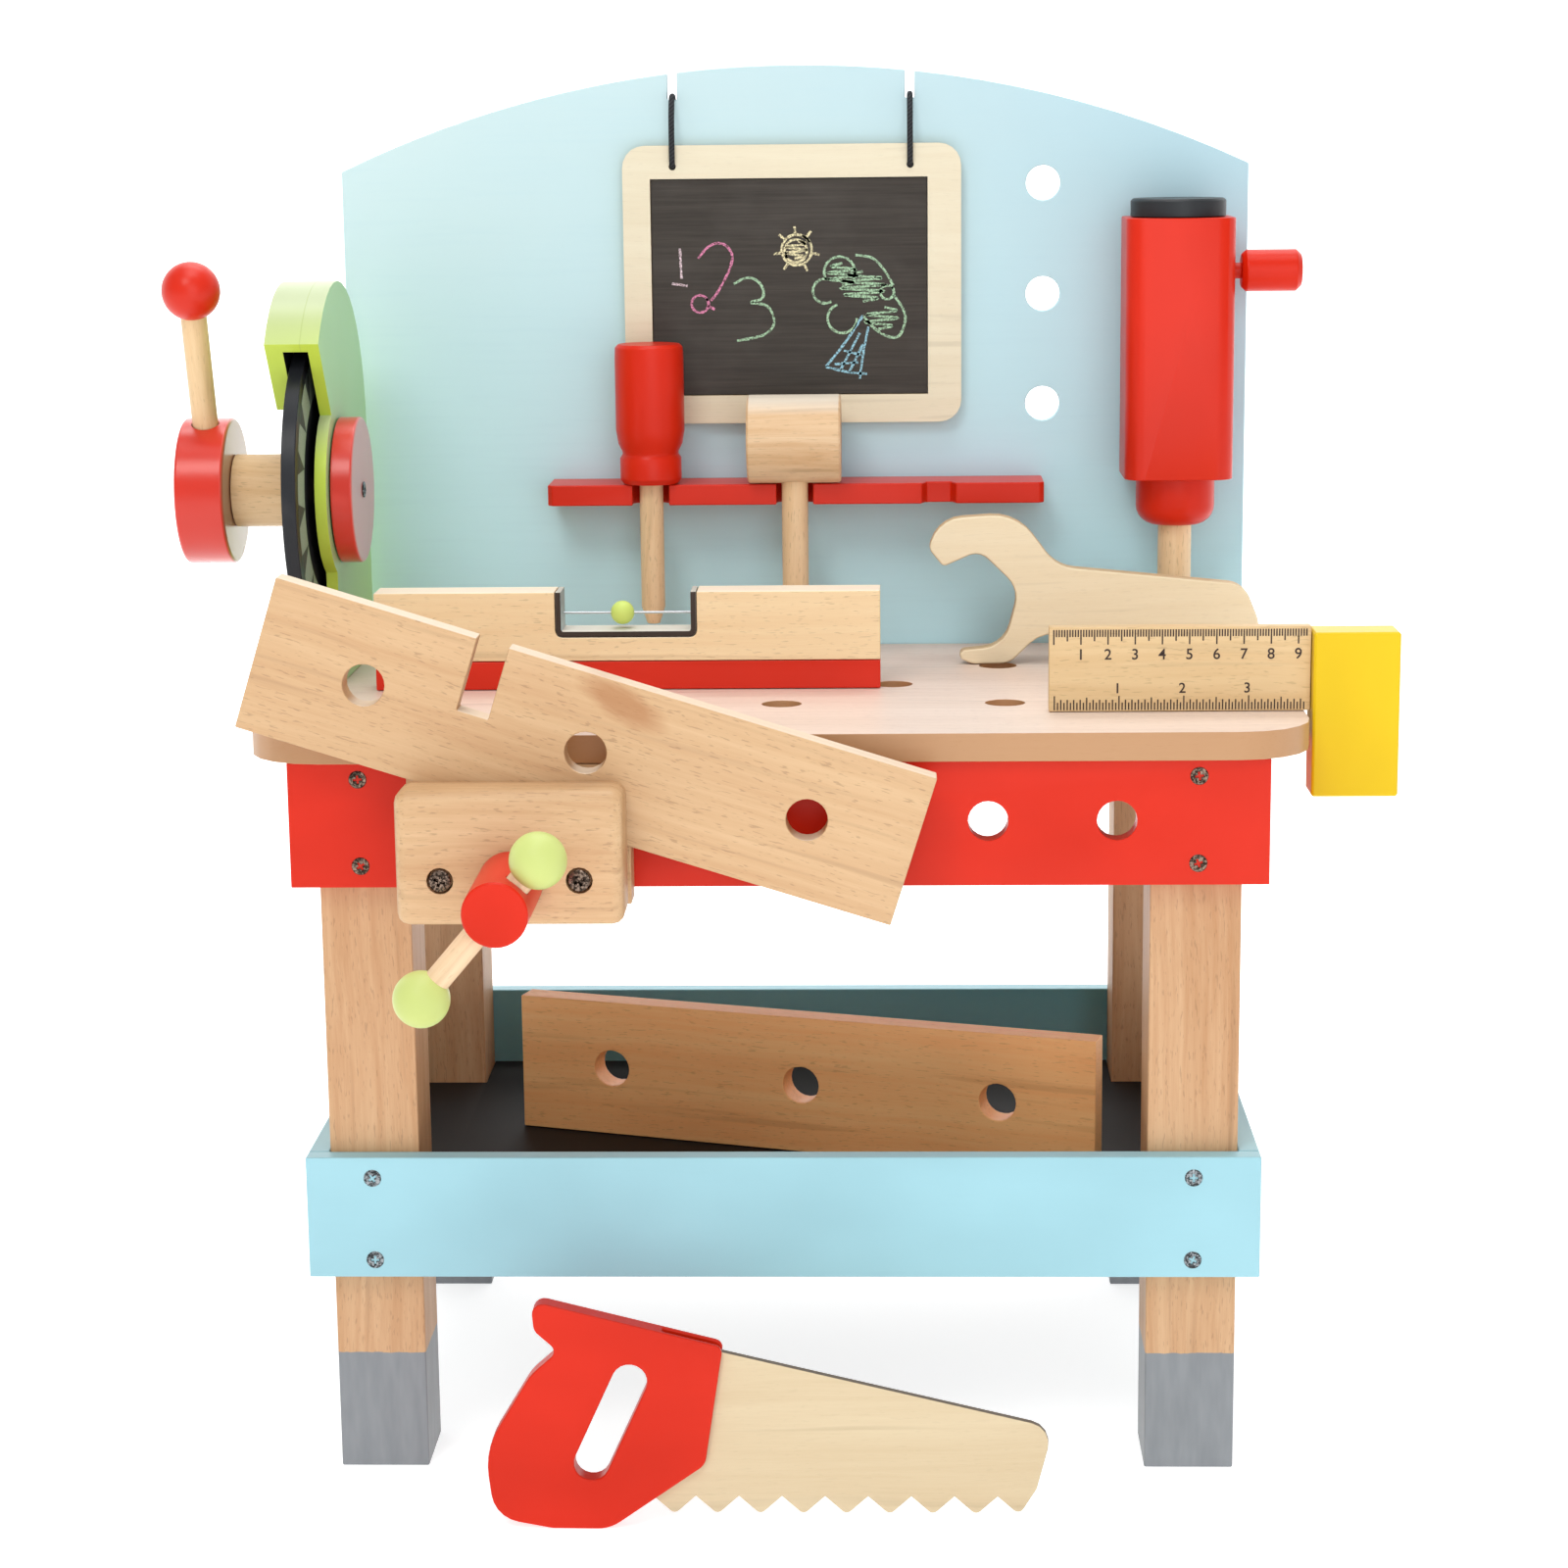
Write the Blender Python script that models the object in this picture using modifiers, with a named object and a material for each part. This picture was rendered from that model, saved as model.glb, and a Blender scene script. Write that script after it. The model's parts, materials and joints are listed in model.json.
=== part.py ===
"""Toy tool bench: a wooden play workbench with a vise, a crank saw, a chalkboard and loose toy tools.

Blender 4.5, metres, +Z up. Every length below is in millimetres and MM turns it into metres.
The bench frame has X to the right from the bench's centre line, Y back from the tray's front face and
Z up from the floor. The empty named bench carries it, so that the origin is under the model's middle.
"""

import math

import bmesh
import bpy
from mathutils import Matrix, Vector

MM = 0.001
GAP = 0.3  # clearance between neighbouring pieces

# Where the bench frame sits, so that the whole model is centred on the origin
BENCH_X = 4.275
BENCH_Y = -77.25

# Frame
LEG = 33.4
LEG_OUTER = 169.2
TRAY_BOARD = 7.8
TRAY_DEPTH = 251.6
TRAY_LOW, TRAY_HIGH = 78.4, 125.0
FLOOR_LOW, FLOOR_HIGH = 87.5, 92.5
APRON_BOARD = 8.7
APRON_LOW = 228.3
TOP_LOW, TOP_HIGH = 274.9, 285.3
TOP_HALF = 194.4
TOP_FRONT = -4.9
TOP_CORNER = 28.0
PEG_R = 7.5
PEG_PITCH = (42.2, 43.7)
PEG_FRONT_ROW = 59.0
DRILL_AXIS = (157.6, 180.6)

# Back panel and what is on it
PANEL_FRONT, PANEL_BACK = 205.1, 209.8
PANEL_X = 2.1
PANEL_HALF = 186.0
PANEL_CORNER_Z, PANEL_APEX_Z = 482.8, 523.9
PANEL_HOLES_X, PANEL_HOLES_Z, PANEL_HOLE_R = 104.4, (385.7, 430.7, 475.6), 7.1
SLOT_XS = (-47.1, 50.0)
SLOT_HALF, SLOT_BOTTOM = 1.95, 510.4
RACK_LEFT, RACK_RIGHT = -99.4, 104.2
RACK_FRONT = 178.0
RACK_LOW, RACK_HIGH = 347.3, 355.8
RACK_NOTCH_R = 7.5
RACK_NOTCH_XS = (-56.9, 2.2)
RACK_NOTCH_Y = 183.0
RACK_SADDLE_X, RACK_SADDLE_DEPTH = 61.2, 5.5

# Chalkboard
BOARD_LEFT, BOARD_RIGHT = -67.7, 70.8
BOARD_LOW, BOARD_HIGH = 378.9, 492.2
BOARD_FRONT, BOARD_BACK = 199.3, 204.8
BOARD_CORNER = 9.0
SLATE_LEFT, SLATE_RIGHT = -56.4, 57.1
SLATE_LOW, SLATE_HIGH = 390.4, 478.7
CORD_R = 1.2
CORD_HOLE_Z = 483.7

# Planks: a notched one is clamped in the vise, and a plain one of the same size stands in the tray
PLANK_LENGTH, PLANK_WIDTH, PLANK_THICK = 243.5, 56.0, 11.2
PLANK_HOLE_PITCH, PLANK_HOLE_R = 82.0, 7.5
NOTCH_FROM, NOTCH_TO, NOTCH_FLOOR = -48.0, -36.3, 1.2
CLAMPED_PLANK = (-66.8, -20.4, 282.8)
CLAMPED_TILT = 17.5
TRAY_PLANK = (5.9, 114.0)
TRAY_PLANK_TURN = -17.4

# Vise on the front apron
JAW_LEFT, JAW_RIGHT = -132.7, -52.3
JAW_LOW, JAW_HIGH = 225.0, 273.4
JAW_FRONT, JAW_BACK = -49.0, -26.3
JAW_CORNER = 4.5
FIXED_JAW_FRONT = -14.5
ROD_XS, ROD_Z, ROD_R = (-116.8, -67.8), 241.6, 4.4
ROD_FRONT, ROD_BACK = -44.0, 34.0
SCREW_X, SCREW_Z = -91.9, 240.9
SPINDLE_R = 6.0
SPINDLE_FRONT, SPINDLE_BACK = -62.0, 45.0
KNOB_R, KNOB_FRONT = 11.4, -98.0
BAR_Y, BAR_R, BAR_ANGLE = -87.0, 4.5, 49.6
BAR_BALL_R = 9.9
BAR_SPAN = 63.4

# Crank saw on the left end of the tabletop
SAW_Y, SAW_Z = 121.0, 361.0
GUARD_LEFT, GUARD_RIGHT = -195.8, -175.0
GUARD_BACK, GUARD_FOOT_FRONT = 191.0, 107.0
HOOD_Y, HOOD_Z, HOOD_R = 129.0, 380.0, 62.0
LIP_FRONT = 82.0
LOBE_R, LOBE_END = 34.0, -244.0
BLADE_R = 58.0
BLADE_LEFT, BLADE_RIGHT = -188.1, -182.6
BLADE_SLOT_LEFT, BLADE_SLOT_RIGHT, BLADE_SLOT_R = -189.0, -179.6, 67.0
AXLE_R, SPINDLE_PIN_R = 14.2, 5.0
CRANK_R = 28.5
CRANK_LEFT, CRANK_RIGHT = -235.3, -216.2
END_DISC_THICK = 8.4
LEVER_R, LEVER_LEAN = 5.0, 17.0
CRANK_BALL_R, CRANK_BALL_ARM = 11.3, 82.6

# Loose tools
DRIVER_X, TOOL_Y = -56.9, 183.0
DRIVER_TOP, DRIVER_TIP = 413.0, 298.0
HAMMER_X, HAMMER_Y, HAMMER_R = 2.2, 180.6, 18.0
HAMMER_LEFT, HAMMER_RIGHT, HAMMER_HANDLE_LOW = -16.9, 21.3, 292.0
DRILL_HALF, DRILL_CORNER = 21.8, 7.8
DRILL_LOW, DRILL_HIGH = 358.0, 462.0
DRILL_SIDE_Z = 440.4
WRENCH_FRONT, WRENCH_BACK = 148.0, 156.0
RULE_LEFT, RULE_FRONT, RULE_BACK, RULE_HIGH = 99.9, 37.0, 43.0, 317.2
STOCK = ((196.6, 31.0, 254.0), (228.5, 49.0, 315.5))
LEVEL_LEFT, LEVEL_RIGHT = -159.0, 37.3
LEVEL_FRONT, LEVEL_BACK = 92.0, 109.0
LEVEL_BASE_HIGH, LEVEL_HIGH = 296.5, 323.6
VIAL_LEFT, VIAL_RIGHT, VIAL_LOW = -88.7, -33.6, 305.9
CHANNEL, CHANNEL_CORNER = 2.1, 2.4
WIRE_Z, BEAD_X, BEAD_R = 314.5, -63.0, 4.6
HANDSAW_FRONT, HANDSAW_BACK = -50.0, -42.2
HANDSAW_BLADE_FRONT, HANDSAW_BLADE_BACK = -47.6, -44.6

BEECH = ("beech", (0.67, 0.41, 0.22), 0.5, 0.0)
PLY = ("pale_ply", (0.79, 0.67, 0.47), 0.55, 0.0)
RED = ("red_paint", (0.76, 0.04, 0.02), 0.3, 0.0)
BLUE = ("blue_paint", (0.40, 0.70, 0.75), 0.4, 0.0)
LIME = ("lime_paint", (0.55, 0.72, 0.12), 0.35, 0.0)
YELLOW = ("yellow_paint", (0.88, 0.62, 0.01), 0.35, 0.0)
BLACK = ("black_paint", (0.02, 0.02, 0.02), 0.45, 0.0)
SLATE = ("slate", (0.04, 0.035, 0.03), 0.8, 0.0)
CORD = ("cord", (0.012, 0.014, 0.02), 0.9, 0.0)
STEEL = ("steel", (0.35, 0.33, 0.32), 0.35, 1.0)


def clear_scene():
    for obj in list(bpy.data.objects):
        bpy.data.objects.remove(obj)


def collection(name):
    made = bpy.data.collections.new(name)
    bpy.context.scene.collection.children.link(made)
    return made


def material(spec):
    name, colour, roughness, metallic = spec
    found = bpy.data.materials.get(name)
    if found:
        return found
    made = bpy.data.materials.new(name)
    made.use_nodes = True
    shader = made.node_tree.nodes["Principled BSDF"]
    shader.inputs["Base Color"].default_value = (*colour, 1.0)
    shader.inputs["Roughness"].default_value = roughness
    shader.inputs["Metallic"].default_value = metallic
    return made


def into(obj, group):
    for holder in list(obj.users_collection):
        holder.objects.unlink(obj)
    group.objects.link(obj)


def pivot(name, place, parent):
    """An empty on a joint's axis, or the bench frame itself when it has no parent."""
    empty = bpy.data.objects.new(name, None)
    PARTS.objects.link(empty)
    empty.empty_display_size = 0.02
    offset = Vector(place) * MM
    if parent:
        empty.parent = parent
        offset -= Vector(parent["bench_place"])
        empty["bench_place"] = tuple(Vector(place) * MM)
    else:
        empty["bench_place"] = (0.0, 0.0, 0.0)
    empty.location = offset
    return empty


def finish(obj, name, spec, holder):
    """Names the object, gives it its material and hangs it on its empty. Its location is in the bench frame."""
    obj.name = name
    obj.data.name = name
    obj.data.materials.clear()
    obj.data.materials.append(material(spec))
    into(obj, PARTS)
    obj.parent = holder
    obj.location -= Vector(holder["bench_place"])
    return obj


def as_cutter(obj, name):
    obj.name = name
    into(obj, CUTTERS)
    obj.hide_render = True
    obj.display_type = "WIRE"
    obj.parent = BENCH
    return obj


def cut(obj, *cutters):
    for cutter in cutters:
        boolean = obj.modifiers.new("cut_" + cutter.name, "BOOLEAN")
        boolean.operation = "DIFFERENCE"
        boolean.object = cutter
        boolean.solver = "EXACT"
    return obj


def bevel(obj, width, segments=2, angle=40.0):
    modifier = obj.modifiers.new("edges", "BEVEL")
    modifier.width = width * MM
    modifier.segments = segments
    modifier.limit_method = "ANGLE"
    modifier.angle_limit = math.radians(angle)
    return obj


def smooth(obj):
    obj.data.shade_smooth()
    obj.data.set_sharp_from_angle(angle=math.radians(35.0))
    return obj


def block(low, high):
    """A box between two corners, with its scale applied."""
    bpy.ops.mesh.primitive_cube_add(size=1.0)
    obj = bpy.context.object
    low, high = Vector(low) * MM, Vector(high) * MM
    obj.data.transform(Matrix.Diagonal((*(high - low), 1.0)))
    obj.location = (low + high) / 2
    return obj


def rod(start, end, radius, sides=24):
    """A cylinder between two points."""
    start, end = Vector(start) * MM, Vector(end) * MM
    length = (end - start).length
    bpy.ops.mesh.primitive_cylinder_add(vertices=sides, radius=radius * MM, depth=length)
    obj = bpy.context.object
    obj.location = (start + end) / 2
    obj.rotation_euler = (end - start).to_track_quat("Z", "Y").to_euler()
    return smooth(obj)


def ball(centre, radius, around=24, rings=14):
    bpy.ops.mesh.primitive_uv_sphere_add(segments=around, ring_count=rings, radius=radius * MM)
    obj = bpy.context.object
    obj.location = Vector(centre) * MM
    return smooth(obj)


def turned(profile, place, axis, sides=32):
    """A solid of revolution. The profile is (radius, distance along the axis) from the far end back."""
    mesh = bpy.data.meshes.new("profile")
    points = [(radius * MM, 0.0, along * MM) for radius, along in profile]
    mesh.from_pydata(points, [(i, i + 1) for i in range(len(points) - 1)], [])
    obj = bpy.data.objects.new("profile", mesh)
    bpy.context.scene.collection.objects.link(obj)
    screw = obj.modifiers.new("turn", "SCREW")
    screw.steps = screw.render_steps = sides
    screw.use_merge_vertices = True
    screw.merge_threshold = 0.0001 * 0.5
    screw.use_smooth_shade = True
    obj.location = Vector(place) * MM
    obj.rotation_euler = Vector(axis).to_track_quat("Z", "Y").to_euler()
    return obj


def circle(centre, radius, sides=24):
    turns = (2 * math.pi * i / sides for i in range(sides))
    return [(centre[0] + radius * math.cos(t), centre[1] + radius * math.sin(t)) for t in turns]


def arc(centre, radius, start, end, steps=10):
    """Points on a circle from one angle to another, in degrees."""
    angles = (math.radians(start + (end - start) * i / steps) for i in range(steps + 1))
    return [(centre[0] + radius * math.cos(t), centre[1] + radius * math.sin(t)) for t in angles]


def rounded(corners, steps=5):
    """An outline from (x, y, radius) corners, with each corner turned into an arc of its radius."""
    points = []
    for i, (x, y, radius) in enumerate(corners):
        here = Vector((x, y))
        if not radius:
            points.append((x, y))
            continue
        before = (Vector(corners[i - 1][:2]) - here).normalized()
        after = (Vector(corners[(i + 1) % len(corners)][:2]) - here).normalized()
        half = before.angle(after) / 2
        middle = here + (before + after).normalized() * radius / math.sin(half)
        first = here + before * radius / math.tan(half) - middle
        last = here + after * radius / math.tan(half) - middle
        sweep = first.angle_signed(last)
        for step in range(steps + 1):
            turn = Matrix.Rotation(-sweep * step / steps, 2)
            points.append(tuple(middle + turn @ first))
    return points


def oblong(low, high, radius):
    (x0, y0), (x1, y1) = low, high
    return rounded([(x0, y0, radius), (x1, y0, radius), (x1, y1, radius), (x0, y1, radius)])


def plate(outlines, place, thick, facing="Y"):
    """A flat piece: the first outline filled, the others holes. It faces along an axis and is centred on place."""
    curve = bpy.data.curves.new("outline", "CURVE")
    curve.dimensions = "2D"
    curve.fill_mode = "BOTH"
    curve.extrude = thick / 2 * MM
    for outline in outlines:
        spline = curve.splines.new("POLY")
        spline.points.add(len(outline) - 1)
        spline.use_cyclic_u = True
        for point, (x, y) in zip(spline.points, outline):
            point.co = (x * MM, y * MM, 0.0, 1.0)
    flat = bpy.data.objects.new("outline", curve)
    bpy.context.scene.collection.objects.link(flat)
    graph = bpy.context.evaluated_depsgraph_get()
    mesh = bpy.data.meshes.new_from_object(flat.evaluated_get(graph))
    work = bmesh.new()
    work.from_mesh(mesh)
    bmesh.ops.remove_doubles(work, verts=work.verts, dist=0.00001)
    bmesh.ops.recalc_face_normals(work, faces=work.faces)
    bmesh.ops.dissolve_limit(work, angle_limit=0.001, verts=work.verts, edges=work.edges)
    bmesh.ops.triangulate(work, faces=[f for f in work.faces if len(f.verts) > 4])
    work.to_mesh(mesh)
    work.free()
    bpy.data.objects.remove(flat)
    obj = bpy.data.objects.new("outline", mesh)
    bpy.context.scene.collection.objects.link(obj)
    quarter = math.pi / 2
    obj.rotation_euler = {"Y": (quarter, 0, 0), "Z": (0, 0, 0), "X": (quarter, 0, quarter)}[facing]
    obj.location = Vector(place) * MM
    return obj


def frontal(outlines, front, back):
    """A plate whose outline is in the XZ plane."""
    return plate(outlines, (0, (front + back) / 2, 0), back - front, "Y")


def legs():
    x_inner = LEG_OUTER - LEG
    front = TRAY_BOARD + GAP
    rear = TRAY_DEPTH - TRAY_BOARD - GAP - LEG
    for depth, y in (("front", front), ("rear", rear)):
        for side, x in (("left", -LEG_OUTER), ("right", x_inner)):
            post = block((x, y, 0), (x + LEG, y + LEG, TOP_LOW - GAP))
            finish(post, f"{depth}_{side}_leg", BEECH, BENCH)


def boards(names, low, high, thick, front_face, spec):
    """Boards round the legs, butted at the corners: front and back over the ends of the sides."""
    inner = LEG_OUTER + GAP
    outer = inner + thick
    front_inner = front_face + thick
    back_inner = TRAY_DEPTH - front_inner
    corners = {
        "front": ((-outer, front_face, low), (outer, front_inner, high)),
        "back": ((-outer, back_inner, low), (outer, TRAY_DEPTH - front_face, high)),
        "left": ((-outer, front_inner + GAP, low), (-inner, back_inner - GAP, high)),
        "right": ((inner, front_inner + GAP, low), (outer, back_inner - GAP, high)),
    }
    for side, name in names.items():
        finish(block(*corners[side]), name, spec, BENCH)


def tray():
    names = {side: f"tray_{side}" for side in ("front", "back", "left", "right")}
    boards(names, TRAY_LOW, TRAY_HIGH, TRAY_BOARD, 0.0, BLUE)
    near = TRAY_BOARD + GAP
    far = TRAY_DEPTH - near
    x, step = LEG_OUTER, LEG + GAP
    outline = [
        (-x + step, near), (x - step, near), (x - step, near + step), (x, near + step),
        (x, far - step), (x - step, far - step), (x - step, far), (-x + step, far),
        (-x + step, far - step), (-x, far - step), (-x, near + step), (-x + step, near + step),
    ]
    middle = (FLOOR_LOW + FLOOR_HIGH) / 2
    shelf = plate([outline], (0, 0, middle), FLOOR_HIGH - FLOOR_LOW, "Z")
    finish(shelf, "tray_floor", BLACK, BENCH)


def aprons():
    names = {"back": "rear_apron", "left": "left_apron", "right": "right_apron"}
    front_face = TRAY_BOARD - APRON_BOARD
    high = TOP_LOW - GAP
    boards(names, APRON_LOW, high, APRON_BOARD, front_face, RED)
    outer = LEG_OUTER + GAP + APRON_BOARD
    face = [(-outer, APRON_LOW), (outer, APRON_LOW), (outer, high), (-outer, high)]
    holes = [circle((x, 252.2), PEG_R - 0.2) for x in (76.4, 123.0)]
    front = frontal([face] + holes + vise_bores(), front_face, TRAY_BOARD)
    finish(front, "front_apron", RED, BENCH)


def vise_bores():
    """The holes that the vise's rods and screw run through."""
    rods = [circle((x, ROD_Z), ROD_R + GAP, 16) for x in ROD_XS]
    return rods + [circle((SCREW_X, SCREW_Z), SPINDLE_R + 2 * GAP, 20)]


def tabletop():
    back = PANEL_FRONT - GAP
    outline = rounded([
        (-TOP_HALF, TOP_FRONT, TOP_CORNER), (TOP_HALF, TOP_FRONT, TOP_CORNER),
        (TOP_HALF, back, 0), (-TOP_HALF, back, 0),
    ])
    step_x, step_y = PEG_PITCH
    pegs = [(column * step_x, PEG_FRONT_ROW + row * step_y)
            for row in range(3) for column in ((-2, 0, 2), (-3, -1, 1, 3))[row % 2]]
    holes = [circle(place, PEG_R) for place in pegs + [DRILL_AXIS]]
    top = plate([outline] + holes, (0, 0, (TOP_LOW + TOP_HIGH) / 2), TOP_HIGH - TOP_LOW, "Z")
    finish(top, "tabletop", BEECH, BENCH)


def back_panel():
    """A board with an arched top. Its tongue goes down behind the tabletop to the rear legs."""
    rise = PANEL_APEX_Z - PANEL_CORNER_Z
    radius = (PANEL_HALF**2 + rise**2) / (2 * rise)
    centre_z = PANEL_APEX_Z - radius

    def arch(x):
        return centre_z + math.sqrt(radius**2 - (x - PANEL_X) ** 2)

    left, right = PANEL_X - PANEL_HALF, PANEL_X + PANEL_HALF
    tongue = LEG_OUTER
    outline = [(-tongue, APRON_LOW), (tongue, APRON_LOW), (tongue, TOP_LOW), (right, TOP_LOW)]
    stops = [right] + [x + side * SLOT_HALF for x in reversed(SLOT_XS) for side in (1, -1)] + [left]
    for start, end in zip(stops[::2], stops[1::2]):
        steps = 10
        xs = [start + (end - start) * i / steps for i in range(steps + 1)]
        outline += [(x, arch(x)) for x in xs]
        if end != left:
            outline += [(end, SLOT_BOTTOM), (end - 2 * SLOT_HALF, SLOT_BOTTOM)]
    outline += [(left, TOP_LOW), (-tongue, TOP_LOW)]
    holes = [circle((PANEL_HOLES_X, z), PANEL_HOLE_R) for z in PANEL_HOLES_Z]
    finish(frontal([outline] + holes, PANEL_FRONT, PANEL_BACK), "back_panel", BLUE, BENCH)


def tool_rack():
    """A slotted bar: two deep notches for handles and one shallow saddle."""
    back = PANEL_FRONT - GAP
    outline = [(RACK_RIGHT, back), (RACK_LEFT, back), (RACK_LEFT, RACK_FRONT + 2), (RACK_LEFT + 2, RACK_FRONT)]
    for x in RACK_NOTCH_XS:
        outline += [(x - RACK_NOTCH_R, RACK_FRONT)]
        outline += arc((x, RACK_NOTCH_Y), RACK_NOTCH_R, 180, 0)
        outline += [(x + RACK_NOTCH_R, RACK_FRONT)]
    saddle_half = 7.0
    x = RACK_SADDLE_X
    outline += [(x - saddle_half, RACK_FRONT), (x - saddle_half + 2, RACK_FRONT + RACK_SADDLE_DEPTH)]
    outline += [(x + saddle_half - 2, RACK_FRONT + RACK_SADDLE_DEPTH), (x + saddle_half, RACK_FRONT)]
    outline += [(RACK_RIGHT - 2, RACK_FRONT), (RACK_RIGHT, RACK_FRONT + 2)]
    bar = plate([outline], (0, 0, (RACK_LOW + RACK_HIGH) / 2), RACK_HIGH - RACK_LOW, "Z")
    finish(bar, "tool_rack", RED, BENCH)


def vise():
    rear_face = TRAY_BOARD - APRON_BOARD - GAP
    fixed = [(JAW_LEFT, JAW_LOW), (JAW_RIGHT, JAW_LOW), (JAW_RIGHT, TOP_LOW - GAP), (JAW_LEFT, TOP_LOW - GAP)]
    jaw = frontal([fixed] + vise_bores(), FIXED_JAW_FRONT, rear_face)
    finish(jaw, "vise_fixed_jaw", BEECH, BENCH)

    slide = pivot("vise_jaw_slide", (SCREW_X, JAW_FRONT, SCREW_Z), BENCH)
    moving = block((JAW_LEFT, JAW_FRONT, JAW_LOW), (JAW_RIGHT, JAW_BACK, JAW_HIGH))
    bevel(moving, JAW_CORNER, 3)
    bores = [rod((x, JAW_FRONT - 5, ROD_Z), (x, JAW_BACK + 5, ROD_Z), ROD_R + GAP, 16) for x in ROD_XS]
    screw_ends = (SCREW_X, JAW_FRONT - 5, SCREW_Z), (SCREW_X, JAW_BACK + 5, SCREW_Z)
    bores.append(rod(*screw_ends, SPINDLE_R + 2 * GAP, 20))
    cut(moving, *(as_cutter(bore, f"jaw_bore_{i}") for i, bore in enumerate(bores)))
    finish(moving, "vise_moving_jaw", BEECH, slide)
    for side, x in zip(("left", "right"), ROD_XS):
        guide = rod((x, ROD_FRONT, ROD_Z), (x, ROD_BACK, ROD_Z), ROD_R, 16)
        finish(guide, f"vise_guide_rod_{side}", BEECH, slide)
        profile = [(0, 0), (2.0, 0), (2.0, -3.2), (4.4, -3.2), (4.4, -4.9), (0, -4.9)]
        head = turned(profile, (x, ROD_FRONT - GAP, ROD_Z), (0, 1, 0), 20)
        finish(head, f"vise_jaw_screw_{side}", STEEL, slide)

    turn = pivot("vise_screw_axis", (SCREW_X, JAW_FRONT, SCREW_Z), slide)
    spindle = rod((SCREW_X, SPINDLE_FRONT, SCREW_Z), (SCREW_X, SPINDLE_BACK, SCREW_Z), SPINDLE_R, 20)
    finish(spindle, "vise_spindle", BEECH, turn)
    pocket = SPINDLE_FRONT - KNOB_FRONT - GAP
    length = JAW_FRONT - GAP - KNOB_FRONT
    edge = 0.6
    profile = [
        (0, pocket), (SPINDLE_R + GAP, pocket), (SPINDLE_R + GAP, length), (KNOB_R, length),
        (KNOB_R, edge), (KNOB_R - edge, 0), (0, 0),
    ]
    knob = turned(profile, (SCREW_X, KNOB_FRONT, SCREW_Z), (0, 1, 0), 36)
    lean = math.radians(BAR_ANGLE)
    along = Vector((math.cos(lean), 0, math.sin(lean)))
    centre = Vector((SCREW_X, BAR_Y, SCREW_Z))
    hole = rod(centre - along * 20, centre + along * 20, BAR_R + GAP, 20)
    cut(knob, as_cutter(hole, "bar_hole"))
    finish(knob, "vise_knob", RED, turn)

    slide_bar = pivot("vise_bar_slide", centre, turn)
    near = KNOB_R + BAR_BALL_R + GAP
    top, bottom = centre + along * near, centre - along * (BAR_SPAN - near)
    bar = rod(bottom + along, top - along, BAR_R, 20)
    finish(bar, "vise_bar", BEECH, slide_bar)
    for name, place, way in (("upper", top, 1), ("lower", bottom, -1)):
        socket = rod(place - along * way * 15, place - along * way * (1 - GAP), BAR_R + GAP, 20)
        knob_ball = cut(ball(place, BAR_BALL_R), as_cutter(socket, f"bar_socket_{name}"))
        finish(knob_ball, f"vise_ball_{name}", LIME, slide_bar)


def plank_outlines(notch):
    """A plank with three holes on its centre line, and the points of a notch in its upper edge, if any."""
    x, z = PLANK_LENGTH / 2, PLANK_WIDTH / 2
    outline = [(-x, -z), (x, -z), (x, z), *notch, (-x, z)]
    return [outline] + [circle((i * PLANK_HOLE_PITCH, 0), PLANK_HOLE_R) for i in (-1, 0, 1)]


def planks():
    lift = pivot("clamped_plank_lift", CLAMPED_PLANK, BENCH)
    top = PLANK_WIDTH / 2
    notch = [(NOTCH_TO, top), (NOTCH_TO, NOTCH_FLOOR), (NOTCH_FROM, NOTCH_FLOOR), (NOTCH_FROM, top)]
    clamped = plate(plank_outlines(notch), CLAMPED_PLANK, PLANK_THICK, "Y")
    clamped.rotation_euler.y = math.radians(CLAMPED_TILT)
    finish(clamped, "clamped_plank", BEECH, lift)
    place = (*TRAY_PLANK, FLOOR_HIGH + GAP + PLANK_WIDTH / 2)
    lift = pivot("tray_plank_lift", place, BENCH)
    spare = plate(plank_outlines([]), place, PLANK_THICK, "Y")
    spare.rotation_euler.z = math.radians(TRAY_PLANK_TURN)
    finish(spare, "tray_plank", BEECH, lift)


def saw_guard():
    """A hood over the blade's top and back, a foot, and a round lobe in front that carries the axle."""
    foot = TOP_HIGH + GAP
    axle = (SAW_Y, SAW_Z)
    low_dy = GUARD_FOOT_FRONT - SAW_Y
    low_dz = -math.sqrt(LOBE_R**2 - low_dy**2)
    start = math.degrees(math.atan2(low_dz, low_dy))
    lip_top = HOOD_Z + math.sqrt(HOOD_R**2 - (LIP_FRONT - HOOD_Y) ** 2)
    hood_start = math.degrees(math.atan2(lip_top - HOOD_Z, LIP_FRONT - HOOD_Y))
    outline = [(GUARD_BACK, foot), (GUARD_FOOT_FRONT, foot)]
    outline += arc(axle, LOBE_R, start, LOBE_END, 12)
    outline += arc((HOOD_Y, HOOD_Z), HOOD_R, hood_start, 0.0, 16)
    middle = (GUARD_LEFT + GUARD_RIGHT) / 2
    guard = plate([outline], (middle, 0, 0), GUARD_RIGHT - GUARD_LEFT, "X")

    def disc(left, right, radius, name, sides=48):
        drum = rod((left, SAW_Y, SAW_Z), (right, SAW_Y, SAW_Z), radius, sides)
        return as_cutter(drum, name)

    slot = disc(BLADE_SLOT_LEFT, BLADE_SLOT_RIGHT, BLADE_SLOT_R, "blade_slot", 64)
    clearance = disc(GUARD_LEFT - 5, BLADE_LEFT - 0.5, LOBE_R + 3, "axle_clearance")
    bore = disc(BLADE_LEFT, GUARD_RIGHT + 5, SPINDLE_PIN_R + GAP, "axle_bore", 24)
    cut(guard, slot, clearance, bore)
    finish(guard, "saw_guard", LIME, BENCH)


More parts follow.
